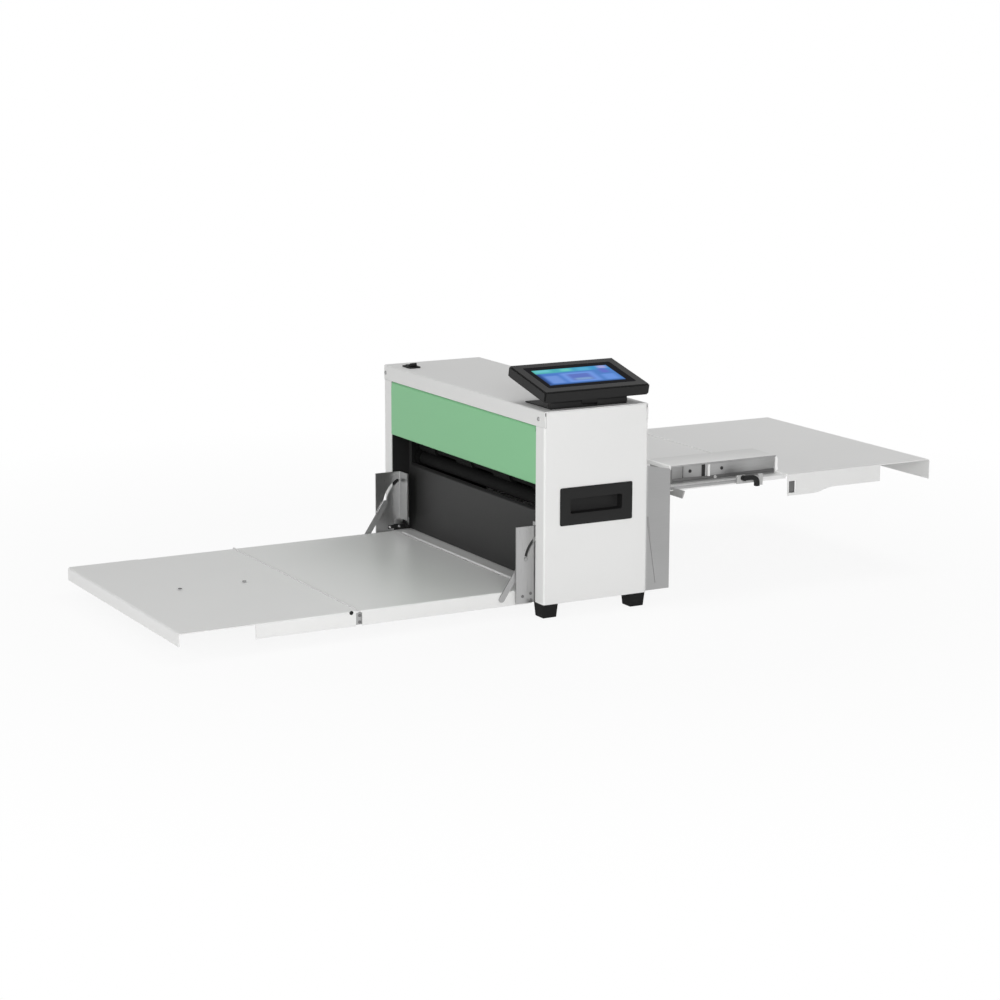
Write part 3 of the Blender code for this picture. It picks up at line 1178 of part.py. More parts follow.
def add_knuckles(made, seam, side, half, top, wanted):
    """Piano-hinge barrels on every other place along a seam. side is the way from the seam to the table."""
    pitch = 2 * half / SEAM_KNUCKLES
    for number in range(SEAM_KNUCKLES):
        if number % 2 != wanted:
            continue
        low = -half + number * pitch + SEAM_PLAY / 2
        high = low + pitch - SEAM_PLAY
        join(made, rod("X", (seam, top), SEAM_BARREL, low, high, ROUND_FINE))
        reach = SEAM_BARREL + SEAM_WEB
        web_y = sorted((seam + side * SEAM_ROD, seam + side * reach))
        join(made, box((low, web_y[0], top - TABLE_SHEET + SEAM_PLAY), (high, web_y[1], top - SEAM_PLAY)))
    cut(made, rod("X", (seam, top), SEAM_ROD + SEAM_PLAY, -half - OVERRUN, half + OVERRUN, ROUND_FINE))
    return made


def seam_rod(name, seam, half, top, paint):
    made = rod("X", (seam, top), SEAM_ROD, -half, half, ROUND_FINE)
    piece(made, name, paint["bright_steel"], (0, seam, top))


def set_back_flanges(made, y_low, y_high):
    """Cut both flanges of an out-feed half clear of the seam, below its flat top."""
    top = DELIVERY_HEIGHT - 2 * TABLE_SHEET
    for side in (RIGHT, LEFT):
        low, high = sorted((side * (OUTFEED_HALF - 2 * TABLE_SHEET), side * (OUTFEED_HALF + OVERRUN)))
        cut(made, box((low, y_low, top - OUTFEED_FLANGE), (high, y_high, top)))


def outfeed_table(paint):
    """The inner half of the low table, with hinge and stay-arm holes in its flanges."""
    end = -OUTFEED_SEAM + SEAM_BARREL + SEAM_PLAY
    outline = channel_sheet(OUTFEED_HALF, DELIVERY_HEIGHT, OUTFEED_FLANGE)
    table = prism("Y", outline, end, OUTFEED_INNER)
    add_knuckles(table, -OUTFEED_SEAM, 1, OUTFEED_HALF, DELIVERY_HEIGHT, 0)
    set_back_flanges(table, end - OVERRUN, end + FLANGE_SETBACK)
    for side in (RIGHT, LEFT):
        low, high = sorted((side * (OUTFEED_HALF - 2 * TABLE_SHEET), side * (OUTFEED_HALF + OVERRUN)))
        cut(table, rod("X", (OUTFEED_HINGE_Y, OUTFEED_HINGE_Z), OUTFEED_PIN + GAP, low, high, ROUND_FINE))
        cut(table, rod("X", (ARM_FOOT_Y, ARM_FOOT_Z), ARM_RIVET + GAP, low, high, ROUND_FINE))
    piece(table, "outfeed_table", paint["table_paint"], (0, OUTFEED_HINGE_Y, OUTFEED_HINGE_Z))


def outfeed_extension(paint):
    """The outer half, whose side flanges stop short of the end so that it can fold back over."""
    start = -OUTFEED_SEAM - SEAM_BARREL - SEAM_PLAY
    outline = channel_sheet(OUTFEED_HALF, DELIVERY_HEIGHT, OUTFEED_FLANGE)
    extension = prism("Y", outline, -OUTFEED_FLANGE_END, start)
    path = [(-OUTFEED_FLANGE_END + HEM, DELIVERY_HEIGHT), (-TABLE_REACH, DELIVERY_HEIGHT),
            (-TABLE_REACH, DELIVERY_HEIGHT - OUTFEED_END_FLANGE)]
    join(extension, prism("X", folded_sheet(path, TABLE_SHEET), -OUTFEED_HALF + BEND_RADIUS * 2,
                          OUTFEED_HALF - BEND_RADIUS * 2))
    nose = [(-TABLE_REACH + BEND_RADIUS * 2, DELIVERY_HEIGHT - TABLE_SHEET),
            (-OUTFEED_FLANGE_END, DELIVERY_HEIGHT)]
    join(extension, box((-OUTFEED_HALF, nose[0][0], nose[0][1]), (OUTFEED_HALF, nose[1][0], nose[1][1])))
    add_knuckles(extension, -OUTFEED_SEAM, -1, OUTFEED_HALF, DELIVERY_HEIGHT, 1)
    set_back_flanges(extension, start - FLANGE_SETBACK - PANEL, start + OVERRUN)
    piece(extension, "outfeed_extension", paint["table_paint"], (0, -OUTFEED_SEAM, DELIVERY_HEIGHT))
    seam_rod("outfeed_seam_rod", -OUTFEED_SEAM, OUTFEED_HALF, DELIVERY_HEIGHT, paint)


def turn_down(vector, angle):
    """Turn a (Y, Z) vector so that -Y swings up."""
    return (vector[0] * math.cos(angle) + vector[1] * math.sin(angle),
            -vector[0] * math.sin(angle) + vector[1] * math.cos(angle))


def arm_pin_place(fold):
    """Where the stay arm's pin is when the out-feed table is folded up by an angle."""
    foot_arm = turn_down((-ARM_FOOT_OUT, -ARM_FOOT_DROP), fold)
    stay = turn_down((ARM_REACH_Y, ARM_REACH_Z), fold * ARM_TURN_SHARE)
    return OUTFEED_HINGE_Y + foot_arm[0] + stay[0], OUTFEED_HINGE_Z + foot_arm[1] + stay[1]


def arm_slot():
    """The curved slot in the bracket, swept by the pin between both ends of its travel."""
    half = ARM_PIN + ARM_PIN_PLAY
    line = [arm_pin_place(OUTFEED_FOLD * step / SLOT_STEPS) for step in range(SLOT_STEPS + 1)]
    sides = band(line, half)
    left = sides[:len(line)]
    right = sides[len(line):]
    heading_end = math.atan2(left[-1][1] - line[-1][1], left[-1][0] - line[-1][0])
    heading_start = math.atan2(right[-1][1] - line[0][1], right[-1][0] - line[0][0])
    end_cap = arc(line[-1], half, heading_end, heading_end - math.pi, CORNER_STEPS * 2)
    start_cap = arc(line[0], half, heading_start, heading_start - math.pi, CORNER_STEPS * 2)
    return left[:-1] + end_cap + right[1:-1] + start_cap[:-1]


def front_bracket(side, paint):
    """The slotted plate on the frame that carries the out-feed table, with its riveted hinge stud."""
    back = -HALF_DEPTH + BRACKET_BACK
    front = -HALF_DEPTH - BRACKET_OUT
    inner, outer = BRACKET_INNER_X, BRACKET_OUTER_X
    path = [(outer, front), (outer, back), (outer - BRACKET_FLANGE, back)]
    bracket = prism("Z", mirror_outline(folded_sheet(path, PLATE), side), BRACKET_FLANGE_BOTTOM,
                    BRACKET_TOP)
    lower = rectangle(front, FOOT_HEIGHT, -INNER_DEPTH - GAP, BRACKET_FLANGE_BOTTOM + HEM)
    low, high = sorted((side * inner, side * outer))
    join(bracket, prism("X", lower, low, high))
    cut(bracket, prism("X", arm_slot(), low - OVERRUN, high + OVERRUN))
    stud_low, stud_high = sorted((side * (OUTFEED_HALF - 2 * TABLE_SHEET), side * (inner + PLATE / 2)))
    join(bracket, rod("X", (OUTFEED_HINGE_Y, OUTFEED_HINGE_Z), OUTFEED_PIN, stud_low, stud_high,
                      ROUND_FINE))
    piece(bracket, f"front_bracket_{SIDE_NAMES[side]}", paint["steel"])


def stay_arm(side, paint):
    """The arm from the table's flange to the bracket's slot, with a rivet below and a pin above."""
    pin = arm_pin_place(0)
    foot_place = (ARM_FOOT_Y, ARM_FOOT_Z)
    inner, outer = ARM_INNER_X, ARM_INNER_X + ARM_SHEET
    slope = math.atan2(pin[1] - foot_place[1], pin[0] - foot_place[0])
    outline = arc(pin, ARM_HALF_WIDTH, slope - math.pi / 2, slope + math.pi / 2, CORNER_STEPS * 2)
    outline += arc(foot_place, ARM_HALF_WIDTH, slope + math.pi / 2, slope + 3 * math.pi / 2,
                   CORNER_STEPS * 2)
    low, high = sorted((side * inner, side * outer))
    arm = prism("X", outline, low, high)
    rivet = sorted((side * (OUTFEED_HALF - 2 * TABLE_SHEET), side * (inner + ARM_SHEET / 2)))
    join(arm, rod("X", foot_place, ARM_RIVET, *rivet, ROUND_FINE))
    slot_pin = sorted((side * (outer - ARM_SHEET / 2), side * BRACKET_OUTER_X))
    join(arm, rod("X", pin, ARM_PIN, *slot_pin, ROUND_FINE))
    piece(arm, f"stay_arm_{SIDE_NAMES[side]}", paint["steel"], (0, *foot_place))


def infeed_table(paint):
    """The inner half of the high table, hemmed along both sides and slotted for the side guide."""
    end = INFEED_SEAM - SEAM_BARREL - SEAM_PLAY
    table = prism("Y", channel_sheet(INFEED_HALF, INFEED_TOP, INFEED_HEM), INFEED_INSIDE, end)
    add_knuckles(table, INFEED_SEAM, -1, INFEED_HALF, INFEED_TOP, 0)
    stem_left = GUIDE_INNER_X + GUIDE_STEM_INSET
    slot_left = stem_left - GUIDE_TRAVEL_IN - GUIDE_SLOT_END
    slot_right = stem_left + GUIDE_STEM_LENGTH + GUIDE_TRAVEL_OUT + GUIDE_SLOT_END
    half = GUIDE_STEM_WIDTH / 2 + GUIDE_SLOT_PLAY
    cut(table, box((slot_left, GUIDE_STEM_Y - half, INFEED_TOP - HEM),
                   (slot_right, GUIDE_STEM_Y + half, INFEED_TOP + OVERRUN)))
    piece(table, "infeed_table", paint["table_paint"])


def wavy_flange():
    """The extension's side flange: deep at the seam, then an S-curve up to a shallower run."""
    top = INFEED_TOP
    deep = top - INFEED_FLANGE
    start = INFEED_SEAM + SEAM_BARREL + SEAM_PLAY
    wave = start + INFEED_WAVE_START
    outline = [(start, top - TABLE_SHEET), (start, deep)]
    for step in range(INFEED_WAVE_STEPS + 1):
        share = step / INFEED_WAVE_STEPS
        rise_share = (1 - math.cos(math.pi * share)) / 2
        outline.append((wave + INFEED_WAVE_LENGTH * share, deep + INFEED_FLANGE_RISE * rise_share))
    outline += [(INFEED_FLANGE_END, deep + INFEED_FLANGE_RISE), (INFEED_FLANGE_END, top - TABLE_SHEET)]
    return outline


def infeed_extension(paint):
    """The outer half with its wavy side flanges, a latch window in each, and an end flange."""
    start = INFEED_SEAM + SEAM_BARREL + SEAM_PLAY
    path = [(start, INFEED_TOP), (TABLE_REACH, INFEED_TOP), (TABLE_REACH, INFEED_TOP - INFEED_END_FLANGE)]
    extension = prism("X", folded_sheet(path, -TABLE_SHEET), -INFEED_HALF, INFEED_HALF)
    for side in (RIGHT, LEFT):
        low, high = sorted((side * (INFEED_HALF - TABLE_SHEET), side * INFEED_HALF))
        flange = [(y, z + (TABLE_SHEET / 2 if z == INFEED_TOP - TABLE_SHEET else 0))
                  for y, z in wavy_flange()]
        join(extension, prism("X", flange, low, high))
        hole_low = start + INFEED_HOLE_START - SEAM_BARREL
        hole = rectangle(hole_low, INFEED_TOP - INFEED_HOLE_TOP - INFEED_HOLE_HEIGHT,
                         hole_low + INFEED_HOLE_LENGTH, INFEED_TOP - INFEED_HOLE_TOP)
        cut(extension, prism("X", hole, low - OVERRUN, high + OVERRUN))
    add_knuckles(extension, INFEED_SEAM, 1, INFEED_HALF, INFEED_TOP, 1)
    piece(extension, "infeed_extension", paint["table_paint"], (0, INFEED_SEAM, INFEED_TOP))
    seam_rod("infeed_seam_rod", INFEED_SEAM, INFEED_HALF, INFEED_TOP, paint)


def rear_bracket(side, paint):
    """The angle on the back of an end cover, with the shelf tab that the in-feed table lies on."""
    outer = HALF_LENGTH - REAR_BRACKET_INSET
    seat = HALF_DEPTH + GAP
    end = HALF_DEPTH + REAR_BRACKET_OUT
    path = [(OPENING_HALF - REAR_BRACKET_INSET, seat), (outer, seat), (outer, end)]
    angle = mirror_outline(folded_sheet(path, REAR_BRACKET_SHEET), side)
    bracket = prism("Z", angle, REAR_BRACKET_BOTTOM, REAR_BRACKET_TOP)
    slope = [(HALF_DEPTH, REAR_BRACKET_TOP), (end + OVERRUN, REAR_BRACKET_TOP - REAR_BRACKET_FALL),
             (end + OVERRUN, REAR_BRACKET_TOP + OVERRUN), (HALF_DEPTH, REAR_BRACKET_TOP + OVERRUN)]
    cut(bracket, prism("X", slope, -HALF_LENGTH, HALF_LENGTH))
    tab_top = INFEED_HEM_BOTTOM - GAP
    tab_x = sorted((side * (outer - REAR_BRACKET_TAB_REACH), side * (outer - REAR_BRACKET_SHEET / 2)))
    tab_y = (HALF_DEPTH + REAR_BRACKET_TAB_FROM, end - REAR_BRACKET_TAB_FROM)
    join(bracket, box((tab_x[0], tab_y[0], tab_top - REAR_BRACKET_SHEET), (tab_x[1], tab_y[1], tab_top)))
    piece(bracket, f"rear_bracket_{SIDE_NAMES[side]}", paint["steel"])


def support_bar(paint):
    """The cross bar under the in-feed table, whose ends rise beside it as tabs."""
    low = INFEED_HEM_BOTTOM - GAP - BAR_SHEET - BAR_END_HEIGHT / 2
    under = INFEED_HEM_BOTTOM - GAP
    tip = under + BAR_END_HEIGHT / 2
    end = HALF_LENGTH - BAR_END_INSET
    shoulder = INFEED_HALF + BAR_END_NECK
    right = [(shoulder, under), (shoulder, tip), (end, tip), (end - BAR_END_SLANT, low)]
    left = [(-x, z) for x, z in reversed(right)]
    y = HALF_DEPTH + BAR_FROM_BODY
    bar = prism("Y", right + left, y, y + BAR_SHEET)
    join(bar, box((-INFEED_HALF, y + BAR_SHEET / 2, under - BAR_SHEET), (INFEED_HALF, y + BAR_LEG, under)))
    piece(bar, "infeed_support_bar", paint["steel"])


def side_guide(paint):
    """The hollow guide box on the table, held by a stem and a shoe through the table's slot."""
    low = INFEED_TOP + GAP
    top = low + GUIDE_HEIGHT
    end = GUIDE_Y + GUIDE_LENGTH
    guide = box((GUIDE_INNER_X + GUIDE_CAP_LIP, GUIDE_Y + GUIDE_CAP_LIP, low),
                (GUIDE_OUTER_X - GUIDE_CAP_LIP, end - GUIDE_CAP_LIP, top - GUIDE_CAP / 2))
    join(guide, box((GUIDE_INNER_X, GUIDE_Y, top - GUIDE_CAP), (GUIDE_OUTER_X, end, top)))
    rim = GUIDE_CAP_LIP + GUIDE_WALL
    cut(guide, box((GUIDE_INNER_X + rim, GUIDE_Y + rim, low - OVERRUN),
                   (GUIDE_OUTER_X - rim, end - rim, top - GUIDE_CAP)))
    face = GUIDE_OUTER_X - GUIDE_CAP_LIP
    notch = GUIDE_Y + GUIDE_NOTCH_FROM
    cut(guide, box((face - GUIDE_NOTCH_DEPTH, notch, low + GUIDE_NOTCH_FLOOR),
                   (face + OVERRUN, notch + GUIDE_NOTCH_WIDTH, top - GUIDE_CAP)))
    seam = GUIDE_Y + GUIDE_SEAM_FROM
    cut(guide, box((face - GUIDE_SEAM_DEPTH, seam, low - OVERRUN),
                   (face + OVERRUN, seam + GUIDE_SEAM_WIDTH, top - GUIDE_CAP)))
    stem_x = GUIDE_INNER_X + GUIDE_STEM_INSET
    shoe_top = INFEED_TOP - TABLE_SHEET - GAP
    half = GUIDE_STEM_WIDTH / 2
    join(guide, box((stem_x, GUIDE_STEM_Y - half, shoe_top - GUIDE_SHOE_SHEET / 2),
                    (stem_x + GUIDE_STEM_LENGTH, GUIDE_STEM_Y + half, top - GUIDE_CAP / 2)))
    shoe = GUIDE_SHOE_WIDTH / 2
    join(guide, box((stem_x - GUIDE_SHOE_EXTRA, GUIDE_STEM_Y - shoe, shoe_top - GUIDE_SHOE_SHEET),
                    (stem_x + GUIDE_STEM_LENGTH + GUIDE_SHOE_EXTRA, GUIDE_STEM_Y + shoe, shoe_top)))
    piece(guide, "side_guide", paint["steel"], (GUIDE_INNER_X, GUIDE_Y, INFEED_TOP))


def clamp_bracket(paint):
    """The plate on the table's hem with an ear and pin for the lever, and an upright tab."""
    top = INFEED_TOP
    end = CLAMP_Y + CLAMP_LENGTH
    ear = CLAMP_Y + CLAMP_EAR
    tab = end - CLAMP_TAB
    outline = [(CLAMP_Y, INFEED_HEM_BOTTOM), (tab, INFEED_HEM_BOTTOM), (tab, top - CLAMP_TAB_DROP),
               (end, top - CLAMP_TAB_DROP), (end, top + CLAMP_TAB_RISE), (tab, top + CLAMP_TAB_RISE),
               (tab, top), (ear + GAP, top), (ear, top + GAP), (ear, top + CLAMP_EAR_RISE),
               (CLAMP_Y, top + CLAMP_EAR_RISE)]
    inner = INFEED_HALF + GAP
    bracket = prism("X", outline, inner, inner + CLAMP_PLATE)
    pin_end = CLAMP_OUTER_X + GAP + LEVER_WIDTH + CLAMP_PLATE / 2
    join(bracket, rod("X", (CLAMP_PIN_Y, CLAMP_PIN_Z), CLAMP_PIN, inner + CLAMP_PLATE / 2, pin_end,
                      ROUND_FINE))
    piece(bracket, "clamp_bracket", paint["steel"])


def clamp_lever(paint):
    """The hooked hand lever: a boss on the pin, a straight arm and a grip that curves down."""
    bend_centre = (CLAMP_PIN_Y + LEVER_REACH, CLAMP_PIN_Z - LEVER_BEND)
    line = [(CLAMP_PIN_Y, CLAMP_PIN_Z)]
    line += arc(bend_centre, LEVER_BEND, math.pi / 2, 0, LEVER_STEPS)
    line.append((line[-1][0], line[-1][1] - LEVER_DROP))
    low = CLAMP_OUTER_X + GAP
    lever = prism("X", band(line, LEVER_HALF), low, low + LEVER_WIDTH)
    join(lever, rod("X", (CLAMP_PIN_Y, CLAMP_PIN_Z), LEVER_BOSS, low, low + LEVER_WIDTH))
    cut(lever, rod("X", (CLAMP_PIN_Y, CLAMP_PIN_Z), CLAMP_PIN + GAP, low - OVERRUN,
                   low + LEVER_WIDTH + OVERRUN, ROUND_FINE))
    piece(lever, "clamp_lever", paint["black_plastic"], (low, CLAMP_PIN_Y, CLAMP_PIN_Z))


def build():
    clear_scene()
    paint = make_materials()
    base_pan(paint)
    for side in (RIGHT, LEFT):
        for end in (-1, 1):
            foot(side, end, paint)
        side_frame(side, paint)
        end_cover(side, paint)
        handle_cup(side, paint)
        front_bracket(side, paint)
        stay_arm(side, paint)
        rear_bracket(side, paint)
    top_cover(paint)
    front_cover(paint)
    delivery_chute(paint)
    rear_covers(paint)
    power_inlet(paint)
    roller("infeed_roller_lower", INFEED_ROLLER_Y, LOWER_ROLLER_Z, True, paint)
    roller("infeed_roller_upper", INFEED_ROLLER_Y, UPPER_ROLLER_Z, False, paint)
    roller("outfeed_roller_lower", OUTFEED_ROLLER_Y, LOWER_ROLLER_Z, True, paint)
    roller("outfeed_roller_upper", OUTFEED_ROLLER_Y, UPPER_ROLLER_Z, False, paint)
    feed_drive(paint)
    crease_bed(paint)
    crease_beam(paint)
    cam_shaft(paint)
    crease_motor(paint)
    power_supply(paint)
    control_board(paint)
    lid_switch(paint)
    screen_base(paint)
    touch_screen(paint)
    outfeed_table(paint)
    outfeed_extension(paint)
    infeed_table(paint)
    infeed_extension(paint)
    support_bar(paint)
    side_guide(paint)
    clamp_bracket(paint)
    clamp_lever(paint)


build()
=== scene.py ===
# %% [markdown]
# # A paper creasing machine
#
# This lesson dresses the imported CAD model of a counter-top creasing machine: a white sheet-metal
# body with a green lift-up cover, a touch screen on the lid, a low folding table in front and a high
# one behind. The CAD nodes already have the right shapes and places, so they stay where they are and
# get better finishes. Small things, such as screws, rivets, softened edges and the picture on the
# display, are modelled here and tied to the body that carries them.

import json
import math

import bmesh
import bpy
from mathutils import Euler, Matrix, Quaternion, Vector

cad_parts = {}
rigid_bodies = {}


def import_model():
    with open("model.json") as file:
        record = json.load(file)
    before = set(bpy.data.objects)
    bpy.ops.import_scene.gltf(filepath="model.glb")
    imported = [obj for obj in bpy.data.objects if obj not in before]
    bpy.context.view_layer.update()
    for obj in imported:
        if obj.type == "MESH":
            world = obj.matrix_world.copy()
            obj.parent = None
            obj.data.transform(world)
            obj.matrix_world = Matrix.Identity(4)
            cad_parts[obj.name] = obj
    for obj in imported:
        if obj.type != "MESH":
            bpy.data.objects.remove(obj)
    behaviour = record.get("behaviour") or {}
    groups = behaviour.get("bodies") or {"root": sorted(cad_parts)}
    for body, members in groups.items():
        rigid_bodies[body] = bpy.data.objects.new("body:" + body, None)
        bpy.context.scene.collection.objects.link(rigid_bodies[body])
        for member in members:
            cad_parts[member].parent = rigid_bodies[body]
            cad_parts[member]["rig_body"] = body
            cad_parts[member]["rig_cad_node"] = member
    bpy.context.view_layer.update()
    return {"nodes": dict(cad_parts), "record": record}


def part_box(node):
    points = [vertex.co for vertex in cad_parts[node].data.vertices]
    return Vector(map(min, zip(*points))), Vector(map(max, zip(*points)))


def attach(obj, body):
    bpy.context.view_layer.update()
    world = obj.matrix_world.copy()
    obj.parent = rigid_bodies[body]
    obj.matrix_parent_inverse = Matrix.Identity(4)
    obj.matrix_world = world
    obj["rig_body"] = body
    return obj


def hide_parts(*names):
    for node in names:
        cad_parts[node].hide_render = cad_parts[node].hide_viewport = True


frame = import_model()
nodes = frame["nodes"]

# %% [markdown]
# ## Places taken from the frame
#
# The main places come from the boxes of the CAD nodes. Small places that only the photograph gives are
# named in the step that uses them. The body's long side runs along X, the low table lies towards -Y
# and the high table towards +Y.

# %% Read the main places
MM = 0.001
SIDES = ((1, "right"), (-1, "left"))
lid_low, lid_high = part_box("top_cover")
HALF_LENGTH = lid_high.x
FRONT = lid_low.y
REAR = lid_high.y
low_table_low, low_table_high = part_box("outfeed_table")
high_table_low, high_table_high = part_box("infeed_table")
print("low table top", round(low_table_high.z, 4), "high table top", round(high_table_high.z, 4))

# %% [markdown]
# ## Camera
#
# The camera was fitted to the corners of the body and of both tables. A long lens from four metres
# away keeps the long edges nearly parallel. The turn is built from three plain angles: how far round,
# how far down, and a slight roll.

# %% Set the camera
CAMERA_PLACE = (3.8186, -2.1288, 1.0412)
CAMERA_YAW = math.radians(61.089)
CAMERA_PITCH = math.radians(11.657)
CAMERA_ROLL = math.radians(0.139)
CAMERA_LENS = 90.92
CAMERA_SENSOR = 36
CAMERA_REACH = 50

camera_data = bpy.data.cameras.new("camera")
camera_data.lens = CAMERA_LENS
camera_data.sensor_width = CAMERA_SENSOR
camera_data.clip_end = CAMERA_REACH
camera = bpy.data.objects.new("camera", camera_data)
bpy.context.scene.collection.objects.link(camera)
camera.location = CAMERA_PLACE
camera.rotation_mode = "QUATERNION"
look = Euler((math.pi / 2 - CAMERA_PITCH, 0, CAMERA_YAW)).to_quaternion()
camera.rotation_quaternion = look @ Quaternion((0, 0, 1), CAMERA_ROLL)
bpy.context.scene.camera = camera
print("camera at", [round(v, 3) for v in camera.location])

# %% [markdown]
# ## Small helpers for modelling by hand
#
# So each step starts by deselecting everything and picking one object. Faces and edges are then
# chosen in code, by where they are or which way they face.

# %% Helpers that select
def start_clean():
    """Leave edit mode and deselect everything."""
    if bpy.context.mode != "OBJECT":
        bpy.ops.object.mode_set(mode="OBJECT")
    bpy.ops.object.select_all(action="DESELECT")


def pick(piece):
    """Make one object the only selected and active one."""
    start_clean()
    piece.select_set(True)
    bpy.context.view_layer.objects.active = piece


def edit(piece, mode):
    """Open an object in edit mode with nothing selected."""
    pick(piece)
    bpy.ops.object.mode_set(mode="EDIT")
    bpy.ops.mesh.select_mode(type=mode)
    bpy.ops.mesh.select_all(action="DESELECT")


def close_edit():
    bpy.ops.object.mode_set(mode="OBJECT")


def choose(piece, kind, wanted):
    """Select the faces or the edges that a test accepts, in edit mode."""
    mesh = bmesh.from_edit_mesh(piece.data)
    elements = getattr(mesh, kind)
    for element in elements:
        element.select_set(bool(wanted(element)))
    bmesh.update_edit_mesh(piece.data)
    return sum(element.select for element in elements)


# %% Helpers that shape and finish
def bevel_chosen(width, segments):
    """Round the chosen edges, in edit mode."""
    bpy.ops.mesh.bevel(offset=width, segments=segments, affect="EDGES")


def apply_modifier(piece, kind, **settings):
    """Add a modifier, set it and apply it at once."""
    pick(piece)
    modifier = piece.modifiers.new(kind.lower(), kind)
    for key, value in settings.items():
        setattr(modifier, key, value)
    bpy.ops.object.modifier_apply(modifier=modifier.name)


def settle(piece):
    """Write the object's place, turn and size into its mesh."""
    pick(piece)
    bpy.ops.object.transform_apply(location=True, rotation=True, scale=True)


def smooth(piece, degrees=35):
    pick(piece)
    bpy.ops.object.shade_smooth_by_angle(angle=math.radians(degrees))


def finish(piece, name, body, paint):
    """Name a piece, give it its finish and tie it to the body that carries it."""
    piece.name = name
    piece.data.name = name
    piece.data.materials.clear()
    piece.data.materials.append(paint)
    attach(piece, body)
    return piece


# %% [markdown]
# ## Shader groups
#
# Three effects are used by more than one finish, so each is a group with named inputs. `powder_coat`
# is the fine orange-peel of baked paint with a faint drift in tone. `brushed_metal` draws long streaks
# along one axis. `moulded_grain` is the small pebbling of black plastic and rubber. All of them read
# Object coordinates, in metres, because every object sits at the origin.

# %% Node helpers
def add(tree, kind, **settings):
    """Add a node and set its properties and its unlinked inputs."""
    node = tree.nodes.new(kind)
    for key, value in settings.items():
        if key.startswith("in_"):
            node.inputs[key[3:].replace("_", " ")].default_value = value
        else:
            setattr(node, key, value)
    return node


def feed(tree, value, socket):
    """Link a socket to another one, or set it where a plain value comes in."""
    if hasattr(value, "is_linked"):
        tree.links.new(value, socket)
    else:
        socket.default_value = value


def arithmetic(tree, operation, first, second=0.0):
    node = add(tree, "ShaderNodeMath", operation=operation)
    for socket, value in zip(node.inputs, (first, second)):
        feed(tree, value, socket)
    return node.outputs[0]


def times(tree, vector, factor):
    """Multiply a vector or a colour by one number."""
    node = add(tree, "ShaderNodeVectorMath", operation="SCALE")
    feed(tree, vector, node.inputs[0])
    feed(tree, factor, node.inputs["Scale"])
    return node.outputs[0]


def spread(tree, value, low, high):
    """Map a 0 to 1 value onto a range whose ends may be sockets."""
    ramp = add(tree, "ShaderNodeMapRange")
    for source, label in ((value, "Value"), (low, "To Min"), (high, "To Max")):
        feed(tree, source, ramp.inputs[label])
    return ramp.outputs["Result"]


def blend(tree, mask, below, above, kind="RGBA"):
    """Mix two colours, or two numbers, by a mask."""
    node = add(tree, "ShaderNodeMix", data_type=kind)
    first, second, out = {"FLOAT": (2, 3, 0), "RGBA": (6, 7, 2)}[kind]
    for source, number in ((mask, 0), (below, first), (above, second)):
        feed(tree, source, node.inputs[number])
    return node.outputs[out]


def split_place(tree):
    """The X, Y and Z of a point on the object."""
    axes = add(tree, "ShaderNodeSeparateXYZ")
    tree.links.new(add(tree, "ShaderNodeTexCoord").outputs["Object"], axes.inputs[0])
    return axes.outputs


def scaled_noise(tree, vector, scale, detail=2.0):
    noise = add(tree, "ShaderNodeTexNoise", in_Scale=1.0, in_Detail=detail)
    tree.links.new(times(tree, vector, scale), noise.inputs["Vector"])
    return noise.outputs["Fac"]


# %% Group helpers
def open_group(name, inputs):
    """A node group, its given inputs, its end node and the place on the object."""
    group = bpy.data.node_groups.new(name, "ShaderNodeTree")
    for label, kind, value in inputs:
        socket = group.interface.new_socket(name=label, in_out="INPUT", socket_type=kind)
        socket.default_value = value
    for label, kind in (("Color", "NodeSocketColor"), ("Roughness", "NodeSocketFloat"),
                        ("Height", "NodeSocketFloat")):
        group.interface.new_socket(name=label, in_out="OUTPUT", socket_type=kind)
    given = group.nodes.new("NodeGroupInput").outputs
    end = group.nodes.new("NodeGroupOutput")
    place = add(group, "ShaderNodeTexCoord").outputs["Object"]
    return group, given, end, place


def close_group(group, end, color, roughness, height):
    """Link the three results to the group's end node."""
    for label, socket in (("Color", color), ("Roughness", roughness), ("Height", height)):
        group.links.new(socket, end.inputs[label])
    return group


def vary_roughness(group, base, value, least, most):
    """Let the roughness drift between two shares of its base."""
    low = arithmetic(group, "MULTIPLY", base, least)
    high = arithmetic(group, "MULTIPLY", base, most)
    return spread(group, value, low, high)


# %% Build the three groups
BROAD_SCALE = 6.0
CLOUD_SCALE = 14.0
DUST_SCALE = 30.0


def build_powder_coat():
    group, given, end, place = open_group(
        "powder_coat",
        [("Color", "NodeSocketColor", (0.76, 0.76, 0.75, 1)), ("Drift", "NodeSocketFloat", 0.02),
         ("Grain Scale", "NodeSocketFloat", 900.0), ("Roughness", "NodeSocketFloat", 0.5)])
    broad = scaled_noise(group, place, BROAD_SCALE)
    fine = scaled_noise(group, place, given["Grain Scale"], detail=3.0)
    drift = spread(group, broad, arithmetic(group, "SUBTRACT", 1.0, given["Drift"]), 1.0)
    roughness = vary_roughness(group, given["Roughness"], fine, 0.88, 1.12)
    return close_group(group, end, times(group, given["Color"], drift), roughness, fine)


